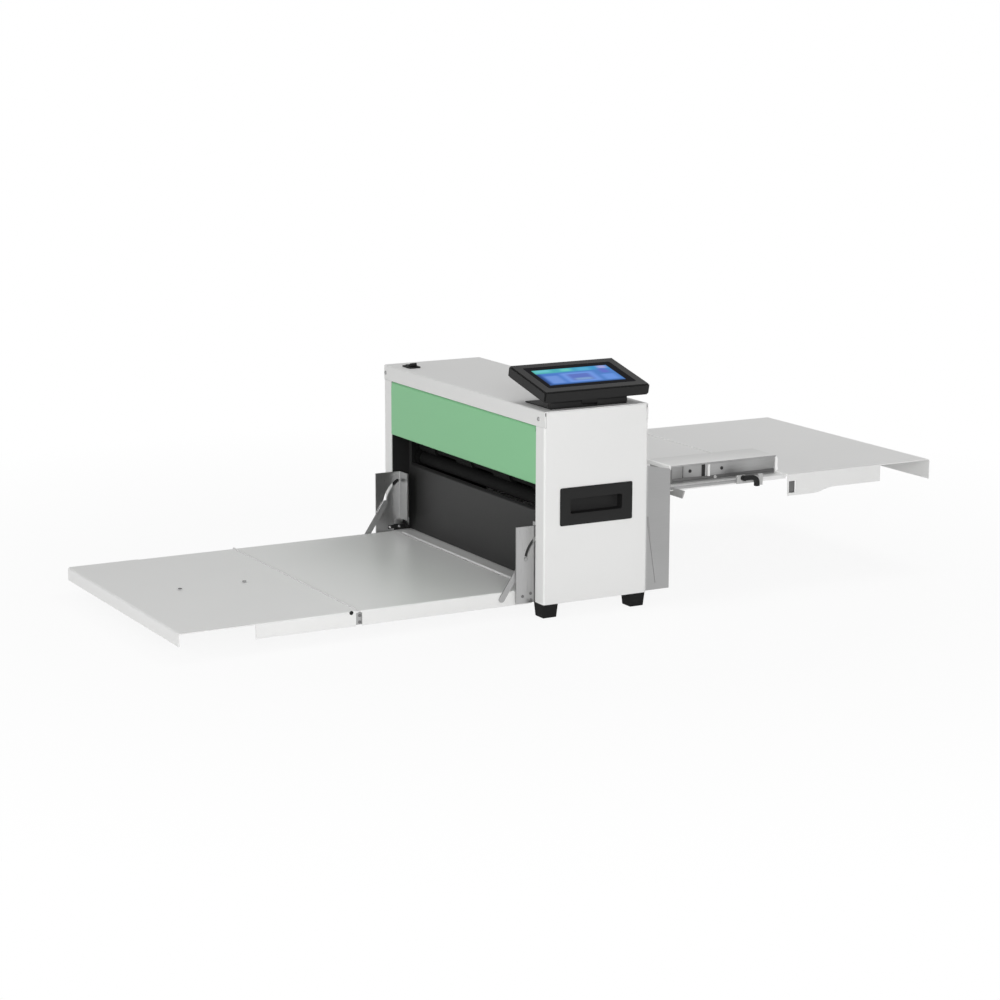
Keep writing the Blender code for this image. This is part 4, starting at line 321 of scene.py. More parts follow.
def build_brushed_metal():
    group, given, end, place = open_group(
        "brushed_metal",
        [("Color", "NodeSocketColor", (0.5, 0.5, 0.5, 1)), ("Streaks", "NodeSocketVector", (40, 40, 1400)),
         ("Roughness", "NodeSocketFloat", 0.4), ("Contrast", "NodeSocketFloat", 0.12)])
    stretch = add(group, "ShaderNodeVectorMath", operation="MULTIPLY")
    group.links.new(place, stretch.inputs[0])
    group.links.new(given["Streaks"], stretch.inputs[1])
    streaks = scaled_noise(group, stretch.outputs[0], 1.0, detail=4.0)
    cloud = spread(group, scaled_noise(group, place, CLOUD_SCALE), 0.92, 1.08)
    low = arithmetic(group, "SUBTRACT", 1.0, given["Contrast"])
    high = arithmetic(group, "ADD", 1.0, given["Contrast"])
    drift = arithmetic(group, "MULTIPLY", spread(group, streaks, low, high), cloud)
    roughness = vary_roughness(group, given["Roughness"], streaks, 0.75, 1.25)
    return close_group(group, end, times(group, given["Color"], drift), roughness, streaks)


def build_moulded_grain():
    group, given, end, place = open_group(
        "moulded_grain",
        [("Color", "NodeSocketColor", (0.03, 0.03, 0.03, 1)), ("Grain Scale", "NodeSocketFloat", 1600.0),
         ("Roughness", "NodeSocketFloat", 0.5), ("Dust", "NodeSocketFloat", 0.1)])
    cells = add(group, "ShaderNodeTexVoronoi", in_Scale=1.0)
    group.links.new(times(group, place, given["Grain Scale"]), cells.inputs["Vector"])
    cloud = scaled_noise(group, place, DUST_SCALE, detail=4.0)
    drift = spread(group, cloud, 0.95, arithmetic(group, "ADD", 1.0, given["Dust"]))
    roughness = vary_roughness(group, given["Roughness"], cloud, 0.9, 1.15)
    return close_group(group, end, times(group, given["Color"], drift), roughness, cells.outputs["Distance"])


powder_coat = build_powder_coat()
brushed_metal = build_brushed_metal()
moulded_grain = build_moulded_grain()
print("groups:", [g.name for g in bpy.data.node_groups])

# %% [markdown]
# ## Finishes
#
# One function turns a group into a finish: it makes the material, sets the group's inputs, and feeds
# the shader's colour, roughness and a bump. Whatever is the same all over, such as how metallic the
# finish is, is set on the shader itself.

# %% Make a finish from a group
BUMP_STRENGTH = 0.05
BUMP_DEPTH = 0.2 * MM
PAINT_GRAIN = 1100.0


def tone(red, green, blue):
    """A linear colour from the 0 to 255 values that a photograph shows."""
    def linear(value):
        share = value / 255
        return share / 12.92 if share <= 0.04045 else ((share + 0.055) / 1.055) ** 2.4
    return (linear(red), linear(green), linear(blue), 1)


def new_material(name):
    """A material, its node tree and its shader."""
    paint = bpy.data.materials.new(name)
    paint.use_nodes = True
    tree = paint.node_tree
    return paint, tree, tree.nodes["Principled BSDF"]


def add_effect(tree, group, values):
    """Add a group to a material and set its inputs."""
    effect = add(tree, "ShaderNodeGroup", node_tree=group)
    for label, value in values.items():
        effect.inputs[label].default_value = value
    return effect


def new_finish(name, group, values, metallic=0.0, specular=0.5):
    """A material whose colour, roughness and relief come from one group."""
    paint, tree, shader = new_material(name)
    shader.inputs["Metallic"].default_value = metallic
    shader.inputs["Specular IOR Level"].default_value = specular
    effect = add_effect(tree, group, values)
    tree.links.new(effect.outputs["Color"], shader.inputs["Base Color"])
    tree.links.new(effect.outputs["Roughness"], shader.inputs["Roughness"])
    relief = add(tree, "ShaderNodeBump", in_Strength=BUMP_STRENGTH, in_Distance=BUMP_DEPTH)
    tree.links.new(effect.outputs["Height"], relief.inputs["Height"])
    tree.links.new(relief.outputs["Normal"], shader.inputs["Normal"])
    return paint


def paint_finish(name, color, drift, roughness, specular=0.5):
    values = {"Color": tone(*color), "Drift": drift, "Grain Scale": PAINT_GRAIN, "Roughness": roughness}
    return new_finish(name, powder_coat, values, specular=specular)


def metal_finish(name, color, streaks, roughness, contrast):
    values = {"Color": tone(*color), "Streaks": streaks, "Roughness": roughness, "Contrast": contrast}
    return new_finish(name, brushed_metal, values, metallic=1.0)


def plastic_finish(name, color, grain, roughness, dust, specular=0.5):
    values = {"Color": tone(*color), "Grain Scale": grain, "Roughness": roughness, "Dust": dust}
    return new_finish(name, moulded_grain, values, specular=specular)


# %% Painted finishes
white_paint = paint_finish("white_powder_coat", (229, 229, 228), drift=0.015, roughness=0.5)
# The lid's finish is a slightly darker copy of the white paint: painted shade that dims its top and its
# band.
shaded_lid_paint = paint_finish("shaded_lid_powder_coat", (225, 225, 224), drift=0.015, roughness=0.5)
# The table's finish also carries painted shade and a painted highlight over the seams, added below.
table_paint = paint_finish("table_powder_coat_and_seam_light", (233, 233, 232), drift=0.03, roughness=0.34)
pan_paint = paint_finish("pan_powder_coat", (218, 218, 217), drift=0.04, roughness=0.45)
green_paint = paint_finish("green_powder_coat", (130, 194, 143), drift=0.03, roughness=0.42)
dark_paint = paint_finish("dark_powder_coat", (47, 47, 47), drift=0.10, roughness=0.5, specular=0.35)
# Near-black paint for the parts inside the body; it also stands in for the shade deep in the slot.
frame_paint_and_shade = paint_finish("inner_frame_coat_and_shade", (24, 24, 24), drift=0.15, roughness=0.6, specular=0.2)
# Grey paint for the high table's supports; on the clamp's bracket it is painted shade.
grey_paint_and_clamp_shade = paint_finish("grey_powder_coat_and_clamp_shade", (186, 186, 185), drift=0.05, roughness=0.5)
motor_paint = paint_finish("motor_enamel", (38, 38, 40), drift=0.05, roughness=0.35)
board_green = paint_finish("solder_mask", (36, 92, 56), drift=0.15, roughness=0.4)

# %% Bare metals
zinc_steel = metal_finish("zinc_plated_steel", (176, 176, 176), (30, 30, 900), 0.45, 0.08)
bracket_steel = metal_finish("bracket_steel", (180, 180, 180), (30, 900, 30), 0.3, 0.1)
guide_steel = metal_finish("guide_steel", (174, 174, 174), (60, 30, 500), 0.4, 0.12)
bright_steel = metal_finish("ground_steel", (200, 200, 200), (600, 60, 60), 0.25, 0.05)
# Blackened steel; on the strip along the guide's foot it is painted shade.
dark_steel = metal_finish("blackened_steel_and_shade", (124, 124, 124), (300, 300, 300), 0.5, 0.15)
milled_aluminium = metal_finish("milled_aluminium", (196, 197, 198), (20, 900, 900), 0.38, 0.08)
machined_brass = metal_finish("machined_brass", (206, 176, 120), (900, 30, 30), 0.3, 0.06)

# %% Plastics and rubber
black_plastic = plastic_finish("black_moulded_plastic", (27, 27, 27), 1500.0, 0.5, 0.1, specular=0.25)
rubber = plastic_finish("black_rubber", (27, 27, 27), 900.0, 0.85, 0.25, specular=0.2)
white_plastic = plastic_finish("white_nylon", (240, 240, 239), 1200.0, 0.4, 0.02)
bright_plastic = plastic_finish("bright_white_nylon", (253, 253, 252), 1200.0, 0.3, 0.01)
print("finishes:", len(bpy.data.materials))

# %% [markdown]
# ## The tables' seams
#
# A rod runs in the seam between the two halves of each table. A narrow band of the table's paint over each
# rod carries painted light: over the low table's rod it is darkened as painted shade, where the rod catches
# more light than the sheets, and over the high table's rod it is lightened as a painted highlight that fills
# the shadow of the gap.

# %% Paint shade and light over the tables' seams
SEAM_HALF_WIDTH = 2.2 * MM
SEAM_FADE_SHARE = 1.3
SEAM_PAINTED_LIGHT = {"outfeed_seam_rod": 0.86, "infeed_seam_rod": 1.14}


def paint_seam_light(paint, middle, share):
    """Paint shade and light into a finish by multiplying it by a share inside a narrow band across Y."""
    tree = paint.node_tree
    offset = arithmetic(tree, "SUBTRACT", split_place(tree)["Y"], middle)
    band = add(tree, "ShaderNodeMapRange", in_From_Min=SEAM_HALF_WIDTH,
               in_From_Max=SEAM_HALF_WIDTH * SEAM_FADE_SHARE, in_To_Min=share)
    tree.links.new(arithmetic(tree, "ABSOLUTE", offset), band.inputs["Value"])
    base = tree.nodes["Principled BSDF"].inputs["Base Color"]
    tree.links.new(times(tree, base.links[0].from_socket, band.outputs["Result"]), base)


for rod, share in SEAM_PAINTED_LIGHT.items():
    low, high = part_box(rod)
    seam = (low.y + high.y) / 2
    paint_seam_light(table_paint, seam, share)
    print(rod, "at y", round(seam, 4))

# %% [markdown]
# ## Rollers in two materials
#
# A feed roller is a steel shaft in a rubber sleeve, with a nylon gear at one end. In the CAD it is one
# solid, so the finish tells them apart by where they are along X: rubber between the ends of the
# sleeve, steel beyond, and dark nylon where the gear and the pulley sit.

# %% Roller finish
ROLLER_SLEEVE_END = 238 * MM
ROLLER_GEAR_START = -249.9 * MM


def build_roller_finish():
    paint, tree, shader = new_material("roller_sleeve_and_shaft")
    shader.inputs["Specular IOR Level"].default_value = 0.2
    along = split_place(tree)["X"]
    bare = arithmetic(tree, "GREATER_THAN", arithmetic(tree, "ABSOLUTE", along), ROLLER_SLEEVE_END)
    geared = arithmetic(tree, "LESS_THAN", along, ROLLER_GEAR_START)
    steel_mask = arithmetic(tree, "MAXIMUM", arithmetic(tree, "SUBTRACT", bare, geared))
    sleeve = add_effect(tree, moulded_grain, {"Color": tone(12, 12, 12), "Roughness": 0.8})
    shaft = add_effect(tree, brushed_metal, {"Color": tone(190, 190, 190), "Streaks": (900, 40, 40),
                                             "Roughness": 0.3})
    for label, socket, kind in (("Color", "Base Color", "RGBA"), ("Roughness", "Roughness", "FLOAT")):
        mixed = blend(tree, steel_mask, sleeve.outputs[label], shaft.outputs[label], kind)
        tree.links.new(mixed, shader.inputs[socket])
    tree.links.new(steel_mask, shader.inputs["Metallic"])
    return paint


roller_finish = build_roller_finish()
print("roller finish made")

# %% [markdown]
# ## The lit display
#
# The glass shows a soft blue picture with a teal bar along its top and a few pale panels. The Mapping
# node moves the glass to the origin and lays it flat, after which each panel is a rectangle in plain
# fractions of the lit field. The glow goes through Emission Color, so it stays with the glass from
# every side.

# %% Panels of the display
FIELD_NEAR = -15 * MM
FIELD_LENGTH = 67 * MM
FIELD_LEFT = -73 * MM
FIELD_WIDTH = 145 * MM
PANEL_SOFTNESS = 0.09
BAR_SOFTNESS = 0.10
BORDER_SOFTNESS = 0.012
TEAL_BAR = (-0.1, 0.76, 1.1, 1.1)
PANELS = (
    ((0.03, 0.84, 0.22, 0.98), (106, 196, 206)),
    ((0.36, 0.82, 0.50, 0.97), (106, 200, 188)),
    ((0.58, 0.78, 0.74, 0.96), (86, 172, 208)),
    ((0.86, 0.82, 0.97, 1.00), (164, 166, 220)),
    ((0.83, 0.52, 0.93, 0.82), (96, 112, 198)),
    ((0.06, 0.10, 0.24, 0.58), (110, 148, 218)),
    ((0.29, 0.10, 0.72, 0.68), (112, 152, 226)),
    ((0.36, 0.18, 0.65, 0.60), (94, 116, 192)),
    ((0.40, 0.20, 0.62, 0.33), (126, 160, 204)),
    ((0.78, 0.10, 0.95, 0.44), (104, 148, 222)),
    ((0.00, -0.04, 1.00, 0.05), (54, 88, 140)),
    ((-0.02, 0.05, 0.04, 0.74), (40, 66, 120)),
)


def panel_mask(tree, across, up, box, softness=PANEL_SOFTNESS):
    """One inside a rectangle given as (left, bottom, right, top) in fractions of the field."""
    left, bottom, right, top = box
    masks = []
    for value, low, high in ((across, left, right), (up, bottom, top)):
        offset = arithmetic(tree, "SUBTRACT", value, (low + high) / 2)
        edge = add(tree, "ShaderNodeMapRange", interpolation_type="SMOOTHSTEP",
                   in_From_Min=(high - low) / 2 - softness / 2, in_From_Max=(high - low) / 2 + softness / 2,
                   in_To_Min=1.0, in_To_Max=0.0)
        tree.links.new(arithmetic(tree, "ABSOLUTE", offset), edge.inputs["Value"])
        masks.append(edge.outputs["Result"])
    return arithmetic(tree, "MULTIPLY", masks[0], masks[1])


# %% Display finish
pin_low, pin_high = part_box("screen_hinge_pin")
HINGE_X = (pin_low.x + pin_high.x) / 2
HINGE_Z = (pin_low.z + pin_high.z) / 2
SCREEN_TILT = math.radians(13)


def build_display():
    paint, tree, shader = new_material("lit_display")
    shader.inputs["Base Color"].default_value = tone(12, 12, 14)
    shader.inputs["Roughness"].default_value = 0.22
    shader.inputs["IOR"].default_value = 1.05
    shader.inputs["Emission Strength"].default_value = 1.0
    lay_flat = add(tree, "ShaderNodeMapping", vector_type="TEXTURE", in_Location=(HINGE_X, 0, HINGE_Z),
                   in_Rotation=(0, SCREEN_TILT, 0))
    tree.links.new(add(tree, "ShaderNodeTexCoord").outputs["Object"], lay_flat.inputs["Vector"])
    axes = add(tree, "ShaderNodeSeparateXYZ")
    tree.links.new(lay_flat.outputs[0], axes.inputs[0])
    from_left = arithmetic(tree, "SUBTRACT", axes.outputs["Y"], FIELD_LEFT)
    from_near = arithmetic(tree, "SUBTRACT", FIELD_NEAR, axes.outputs["X"])
    across = arithmetic(tree, "DIVIDE", from_left, FIELD_WIDTH)
    up = arithmetic(tree, "DIVIDE", from_near, FIELD_LENGTH)
    ground = blend(tree, across, tone(75, 120, 200), tone(80, 128, 196))
    bar = blend(tree, across, tone(84, 184, 172), tone(62, 138, 206))
    picture = blend(tree, panel_mask(tree, across, up, TEAL_BAR, BAR_SOFTNESS), ground, bar)
    for box, color in PANELS:
        picture = blend(tree, panel_mask(tree, across, up, box), picture, tone(*color))
    field = panel_mask(tree, across, up, (0.0, 0.0, 1.0, 1.0), BORDER_SOFTNESS)
    glow = blend(tree, field, tone(17, 17, 20), picture)
    tree.links.new(glow, shader.inputs["Emission Color"])
    return paint


display = build_display()
print("display field", round(FIELD_WIDTH / MM), "by", round(FIELD_LENGTH / MM), "mm")

# %% [markdown]
# ## Finishes on the CAD nodes
#
# Each node keeps its shape and takes the finish of its material slot in the record. Nodes whose slot says
# too little are named apart: the rollers, the lid, the pan, the brackets, the side guide, the seam rods, the
# screen's pin, the supports of the high table and the dark parts inside the body. The lid takes a darker
# copy of the white paint as painted shade, the clamp's bracket takes grey paint as painted shade, and the
# near-black paint of the parts inside the body also stands in for the shade deep in the slot.

# %% Dress the nodes
FINISH_OF_SLOT = {
    "steel": zinc_steel, "rubber": rubber, "white_paint": white_paint, "green_paint": green_paint,
    "table_paint": table_paint, "dark_paint": dark_paint, "bright_steel": bright_steel,
    "black_plastic": black_plastic, "aluminium": milled_aluminium, "motor_black": motor_paint,
    "gear_brass": machined_brass, "board_green": board_green, "screen_glass": display,
}
FINISH_OF_NAME = {
    # The side frames and the crease parts take near-black paint that also stands in for the shade in the
    # slot.
    "infeed_roller": roller_finish, "outfeed_roller": roller_finish, "side_frame": frame_paint_and_shade,
    "crease_bed": frame_paint_and_shade, "crease_beam": frame_paint_and_shade, "base_pan": pan_paint,
    "front_bracket": bracket_steel, "side_guide": guide_steel, "screen_hinge_pin": black_plastic,
    "outfeed_seam_rod": table_paint, "infeed_seam_rod": table_paint,
    # The clamp's bracket takes grey paint as painted shade, and the lid a darker copy of the white paint as
    # painted shade.
    "infeed_support_bar": grey_paint_and_clamp_shade, "clamp_bracket": grey_paint_and_clamp_shade, "top_cover": shaded_lid_paint,
}
slot_of = {entry["node"]: entry["material_slot"] for entry in frame["record"]["subparts"]}
for name, node in nodes.items():
    paint = FINISH_OF_SLOT[slot_of[name]]
    for start, named_paint in FINISH_OF_NAME.items():
        if name.startswith(start):
            paint = named_paint
    node.data.materials.clear()
    node.data.materials.append(paint)
print("dressed", len(nodes), "nodes")

# %% [markdown]
# ## Softened edges
#
# A moulded or machined part has no knife edges. A copy of the CAD node is merged into one skin, its
# flat faces are dissolved back to single faces, and a Bevel modifier rounds every sharp edge. The copy then
# stands for the node, which stays behind it for collision, hidden.

# %% Soften the moulded parts
MERGE_DISTANCE = 0.01 * MM
FLAT_ANGLE = math.radians(1)
SHARP_ANGLE = math.radians(40)
SOFTENED = (
    ("handle_cup_right", "chassis", black_plastic, 0.7 * MM, 3),
    ("handle_cup_left", "chassis", black_plastic, 0.7 * MM, 3),
    ("clamp_lever", "clamp", black_plastic, 1.4 * MM, 3),
    ("switch_bezel", "chassis", black_plastic, 0.4 * MM, 2),
    ("switch_rocker", "rocker", black_plastic, 0.3 * MM, 2),
    ("screen_base", "chassis", black_plastic, 0.4 * MM, 2),
    ("side_guide", "guide", guide_steel, 0.5 * MM, 2),
    ("foot_front_right", "chassis", rubber, 1.2 * MM, 3),
    ("foot_front_left", "chassis", rubber, 1.2 * MM, 3),
    ("foot_rear_right", "chassis", rubber, 1.2 * MM, 3),
    ("foot_rear_left", "chassis", rubber, 1.2 * MM, 3),
)


def soften(node_name, body, paint, width, segments):
    """A rounded copy of a node that stands for it."""
    source = nodes[node_name]
    piece = source.copy()
    piece.data = source.data.copy()
    piece.parent = None
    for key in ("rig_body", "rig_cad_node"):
        if key in piece:
            del piece[key]
    bpy.context.scene.collection.objects.link(piece)
    edit(piece, "VERT")
    bpy.ops.mesh.select_all(action="SELECT")
    bpy.ops.mesh.remove_doubles(threshold=MERGE_DISTANCE)
    bpy.ops.mesh.dissolve_limited(angle_limit=FLAT_ANGLE)
    close_edit()
    apply_modifier(piece, "BEVEL", width=width, segments=segments, limit_method="ANGLE",
                   angle_limit=SHARP_ANGLE, harden_normals=False)
    smooth(piece, 30)
    finish(piece, node_name + "_rounded", body, paint)
    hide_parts(node_name)
    return piece


skins = {row[0]: soften(*row) for row in SOFTENED}
print("softened parts:", len(skins))

# %% Paint the guide's top
TOP_SKIN = 1 * MM
guide_low, guide_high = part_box("side_guide")
guide_skin = skins["side_guide"]
# The guide's top faces take the same darker copy of the white paint as the lid.
guide_skin.data.materials.append(shaded_lid_paint)
edit(guide_skin, "FACE")
painted = choose(guide_skin, "faces", lambda face: face.normal.z > 0.5
                 and face.calc_center_median().z > guide_high.z - TOP_SKIN)
guide_skin.active_material_index = 1
bpy.ops.object.material_slot_assign()
close_edit()
print("painted faces", painted)

# %% [markdown]
# ## Screws and rivets
#
# Two fasteners repeat over the whole machine: a button-head screw with a socket, and a flat rivet.
# Each is modelled once at the origin, pointing up, and then copied to its places. The screw starts as
# a cylinder. Its top rim is bevelled into a dome, and the top face is inset and pushed down into the
# socket.

# %% Model a screw and a rivet
NEAR_TOP = 0.9
SCREW_DOME = 0.7
RIVET_DOME = 0.45
SOCKET_RIM = 0.25
SOCKET_DEPTH = 0.55


def start_cylinder(radius, depth, place, vertices=24, turn=(0, 0, 0)):
    """A cylinder with its place and turn written into its mesh."""
    start_clean()
    bpy.ops.mesh.primitive_cylinder_add(vertices=vertices, radius=radius, depth=depth,
                                        location=place, rotation=turn)
    piece = bpy.context.object
    settle(piece)
    return piece


def round_top_rim(piece, height, bevel_share, segments):
    """Bevel the upper rim of an upright cylinder, and stay in edit mode."""
    edit(piece, "EDGE")
    choose(piece, "edges", lambda edge: all(v.co.z > height * NEAR_TOP for v in edge.verts))
    bevel_chosen(height * bevel_share, segments)


def model_screw(radius, height):
    piece = start_cylinder(radius, height, (0, 0, height / 2))
    round_top_rim(piece, height, SCREW_DOME, 3)
    bpy.ops.mesh.select_mode(type="FACE")
    choose(piece, "faces", lambda face: face.normal.z > 0.99
           and face.calc_center_median().z > height * NEAR_TOP)
    bpy.ops.mesh.inset(thickness=radius * SOCKET_RIM)
    bpy.ops.mesh.extrude_region_move(TRANSFORM_OT_translate={"value": (0, 0, -height * SOCKET_DEPTH)})
    close_edit()
    smooth(piece, 40)
    return piece


def model_rivet(radius, height):
    piece = start_cylinder(radius, height, (0, 0, height / 2), vertices=20)
    round_top_rim(piece, height, RIVET_DOME, 2)
    close_edit()
    smooth(piece, 40)
    return piece


screw = model_screw(radius=2.6 * MM, height=1.4 * MM)
band_screw = model_screw(radius=3.6 * MM, height=1.3 * MM)
rivet = model_rivet(radius=2.6 * MM, height=1.0 * MM)
print("screw faces", len(screw.data.polygons), "rivet faces", len(rivet.data.polygons))


# %% Copy a fastener to its places
def place_copies(template, name, places, direction, body, paint):
    """Copy a fastener to each place, turned to point along a direction."""
    turn = Vector((0, 0, 1)).rotation_difference(Vector(direction)).to_matrix().to_4x4()
    for number, place in enumerate(places, 1):
        copy = template.copy()
        copy.data = template.data.copy()
        bpy.context.scene.collection.objects.link(copy)
        copy.data.transform(Matrix.Translation(place) @ turn)
        label = f"{name}_{number}" if len(places) > 1 else name
        finish(copy, label, body, paint)


# %% [markdown]
# ## Bars with rounded edges
#
# Several small parts are strips of sheet or bar: corner folds, rails, latch plates and braces. Each is
# a cube scaled to its size, with every edge bevelled, and a turn about X where it lies at a slant.

# %% Model a bar
def start_block(size, place, turn=(0, 0, 0)):
    """A box with its place, turn and size written into its mesh."""
    start_clean()
    bpy.ops.mesh.primitive_cube_add(size=1, location=place, rotation=turn, scale=size)
    piece = bpy.context.object
    settle(piece)
    return piece


def model_bar(size, place, bevel=0.3 * MM, turn=0.0):
    bar = start_block(size, place, (turn, 0, 0))
    edit(bar, "EDGE")
    bpy.ops.mesh.select_all(action="SELECT")
    bevel_chosen(bevel, 2)
    close_edit()
    smooth(bar, 40)
    return bar


# %% [markdown]
# ## Fasteners on the body
#
# The lid is held by a zinc-plated screw at each end of its front and rear bands. The rear covers have a
# screw near each corner. The front brackets show three dark rivets at their foot, on the outer face. On
# the inner face two bright screws hold a rubber bumper just above the table, and behind it two small
# plates close the gap below the flange, with a rubber stop at their foot.

# %% Place the body's screws
BAND_SCREW_Z = 334.7 * MM
BAND_SCREW_X = (275.0 * MM, -289.0 * MM)
COVER_SCREW_X = 252 * MM
COVER_SCREW_Z = {"rear_cover_upper": (309 * MM, 218 * MM), "rear_cover_lower": (170 * MM, 36 * MM)}
for y, direction, label in ((FRONT, (0, -1, 0), "front"), (REAR, (0, 1, 0), "rear")):
    places = [(x, y, BAND_SCREW_Z) for x in BAND_SCREW_X]
    place_copies(band_screw, f"lid_screw_{label}", places, direction, "chassis", zinc_steel)

for node, heights in COVER_SCREW_Z.items():
    places = [(side * COVER_SCREW_X, REAR, z) for side in (1, -1) for z in heights]
    place_copies(screw, f"{node}_screw", places, (0, 1, 0), "chassis", bright_steel)
print("body screws placed")

# %% Place the brackets' fasteners
FOOT_RIVETS = ((-122.9 * MM, 35.6 * MM), (-107.6 * MM, 39.2 * MM), (-106.6 * MM, 27.8 * MM))
INNER_SCREWS = ((-107.7 * MM, 51.6 * MM), (-88.4 * MM, 51.6 * MM))
BRACKET_SHEET = 2.5 * MM
BUMPER_SIZE = (1.2 * MM, 26 * MM, 6.4 * MM)
BUMPER_PLACE = (-97.6 * MM, 51.4 * MM)
SIDE_PLATE_GAP = 2.1 * MM
SIDE_PLATE_SIZE = (0.8 * MM, 18.4 * MM, 13.4 * MM)
SIDE_PLATE_PLACE = (-88.9 * MM, 61.4 * MM)
CROSS_X = 256.4 * MM
CROSS_PLATE_SIZE = (14 * MM, 1.2 * MM, 14 * MM)
CROSS_PLATE_PLACE = (-74 * MM, 61.6 * MM)
STOP_SIZE = (14 * MM, 1.2 * MM, 6.4 * MM)
STOP_PLACE = (-75.2 * MM, 51.4 * MM)
for side, label in SIDES:
    low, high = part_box(f"front_bracket_{label}")
    outer = high.x if side > 0 else low.x
    inner = outer - side * BRACKET_SHEET
    bumper_face = inner - side * BUMPER_SIZE[0]
    side_plate_x = inner + side * SIDE_PLATE_GAP
    places = [(outer, y, z) for y, z in FOOT_RIVETS]
    place_copies(rivet, f"bracket_rivet_{label}", places, (side, 0, 0), "chassis", dark_steel)
    for name, size, x, place, slot, paint in (
            ("bumper", BUMPER_SIZE, (inner + bumper_face) / 2, BUMPER_PLACE, "rubber", rubber),
            ("side_plate", SIDE_PLATE_SIZE, side_plate_x, SIDE_PLATE_PLACE, "steel", bracket_steel),
            ("cross_plate", CROSS_PLATE_SIZE, side * CROSS_X, CROSS_PLATE_PLACE, "steel", bracket_steel),
            ("stop", STOP_SIZE, side * CROSS_X, STOP_PLACE, "rubber", rubber)):
        finish(model_bar(size, (x, *place)), f"bracket_{name}_{label}", "chassis", paint)
    places = [(bumper_face, y, z) for y, z in INNER_SCREWS]
    place_copies(screw, f"bracket_screw_{label}", places, (-side, 0, 0), "chassis",
                 bright_steel)
print("bracket fasteners placed")

# %% [markdown]
# ## Body corners
#
# At each upper corner the end panel's edge is folded in behind the lid's band, and the fold closes the
# joint except for a short notch at the top.

# %% Close the body's corners
FOLD_SIZE = (1.3 * MM, 1.6 * MM, 19.0 * MM)
FOLD_X = HALF_LENGTH - 0.85 * MM
FOLD_Y = REAR - 2.4 * MM
FOLD_Z = 331.9 * MM
for side, across in SIDES:
    for end, along in ((-1, "front"), (1, "rear")):
        fold = model_bar(FOLD_SIZE, (side * FOLD_X, end * FOLD_Y, FOLD_Z))
        finish(fold, f"corner_fold_{along}_{across}", "chassis", white_paint)
print("corner folds placed")

# %% [markdown]
# ## The pan's rolled edge
#
# Where the base pan meets the low table its front edge is rolled into a thin bead, which catches the
# light as one bright line. A bead is a long cylinder with its two end rims bevelled. It stops short of
# the bracket flanges.

# %% Roll the pan's edge
BEAD_RADIUS = 2.1 * MM
BEAD_LENGTH = 464 * MM
BEAD_SETBACK = 2.2 * MM
BEAD_LIFT = 1.9 * MM


def model_bead(radius, length, place):
    bead = start_cylinder(radius, length, place, vertices=20, turn=(0, math.pi / 2, 0))
    edit(bead, "EDGE")
    choose(bead, "edges", lambda edge: abs(edge.verts[0].co.x - edge.verts[1].co.x) < length / 2)
    bevel_chosen(radius * 0.5, 2)
    close_edit()
    smooth(bead, 40)
    return bead


pan_low, pan_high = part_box("base_pan")
bead = model_bead(BEAD_RADIUS, BEAD_LENGTH, (0, pan_low.y + BEAD_SETBACK, pan_high.z + BEAD_LIFT))
finish(bead, "pan_bead", "chassis", pan_paint)
print("pan edge rolled")

# %% [markdown]
# ## Rear bracket details
#
# On the outer face of each rear bracket a slim slanting brace runs down from the body.

# %% Braces of the rear brackets
BRACE_TOP = (104.4 * MM, 152.7 * MM)
BRACE_FOOT = (122.6 * MM, 36.8 * MM)
BRACE_SHEET = 0.9 * MM
BRACE_WIDTH = 2.4 * MM
BRACE_STANDOFF = 0.5 * MM
brace_run = (BRACE_FOOT[0] - BRACE_TOP[0], BRACE_FOOT[1] - BRACE_TOP[1])
brace_length = math.hypot(*brace_run)
brace_turn = math.atan2(brace_run[0], -brace_run[1])
for side, label in SIDES:
    low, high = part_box(f"rear_bracket_{label}")
    face = high.x if side > 0 else low.x
    middle = (face + side * BRACE_STANDOFF, *((top + foot) / 2 for top, foot in zip(BRACE_TOP, BRACE_FOOT)))
    brace = model_bar((BRACE_SHEET, BRACE_WIDTH, brace_length), middle, 0.2 * MM, brace_turn)
    finish(brace, f"rear_brace_{label}", "chassis", guide_steel)
print("brace length", round(brace_length / MM, 1), "mm")

# %% [markdown]
# ## Low table details
#
# Two short stop pins stand along the middle of the extension. At each end of the seam a steel latch
# plate with two rivets bridges the gap between the side flanges. A dark stud sits beside the seam on the
# near flange.

# %% Stop pins and stud
STOP_PINS = ((-12.8 * MM, -620.3 * MM), (-10.7 * MM, -505.4 * MM))
STUD_FROM_SEAM = 12.5 * MM
STUD_Z = 43.3 * MM
SEAM_Y = low_table_low.y
stop_pin = model_rivet(radius=3.4 * MM, height=0.7 * MM)
places = [(x, y, low_table_high.z) for x, y in STOP_PINS]
place_copies(stop_pin, "table_stop_pin", places, (0, 0, 1), "outfeed_outer", dark_steel)
places = [(low_table_high.x, SEAM_Y - STUD_FROM_SEAM, STUD_Z)]
place_copies(stop_pin, "flange_stud", places, (1, 0, 0), "outfeed_outer", black_plastic)
print("stop pins and stud placed")

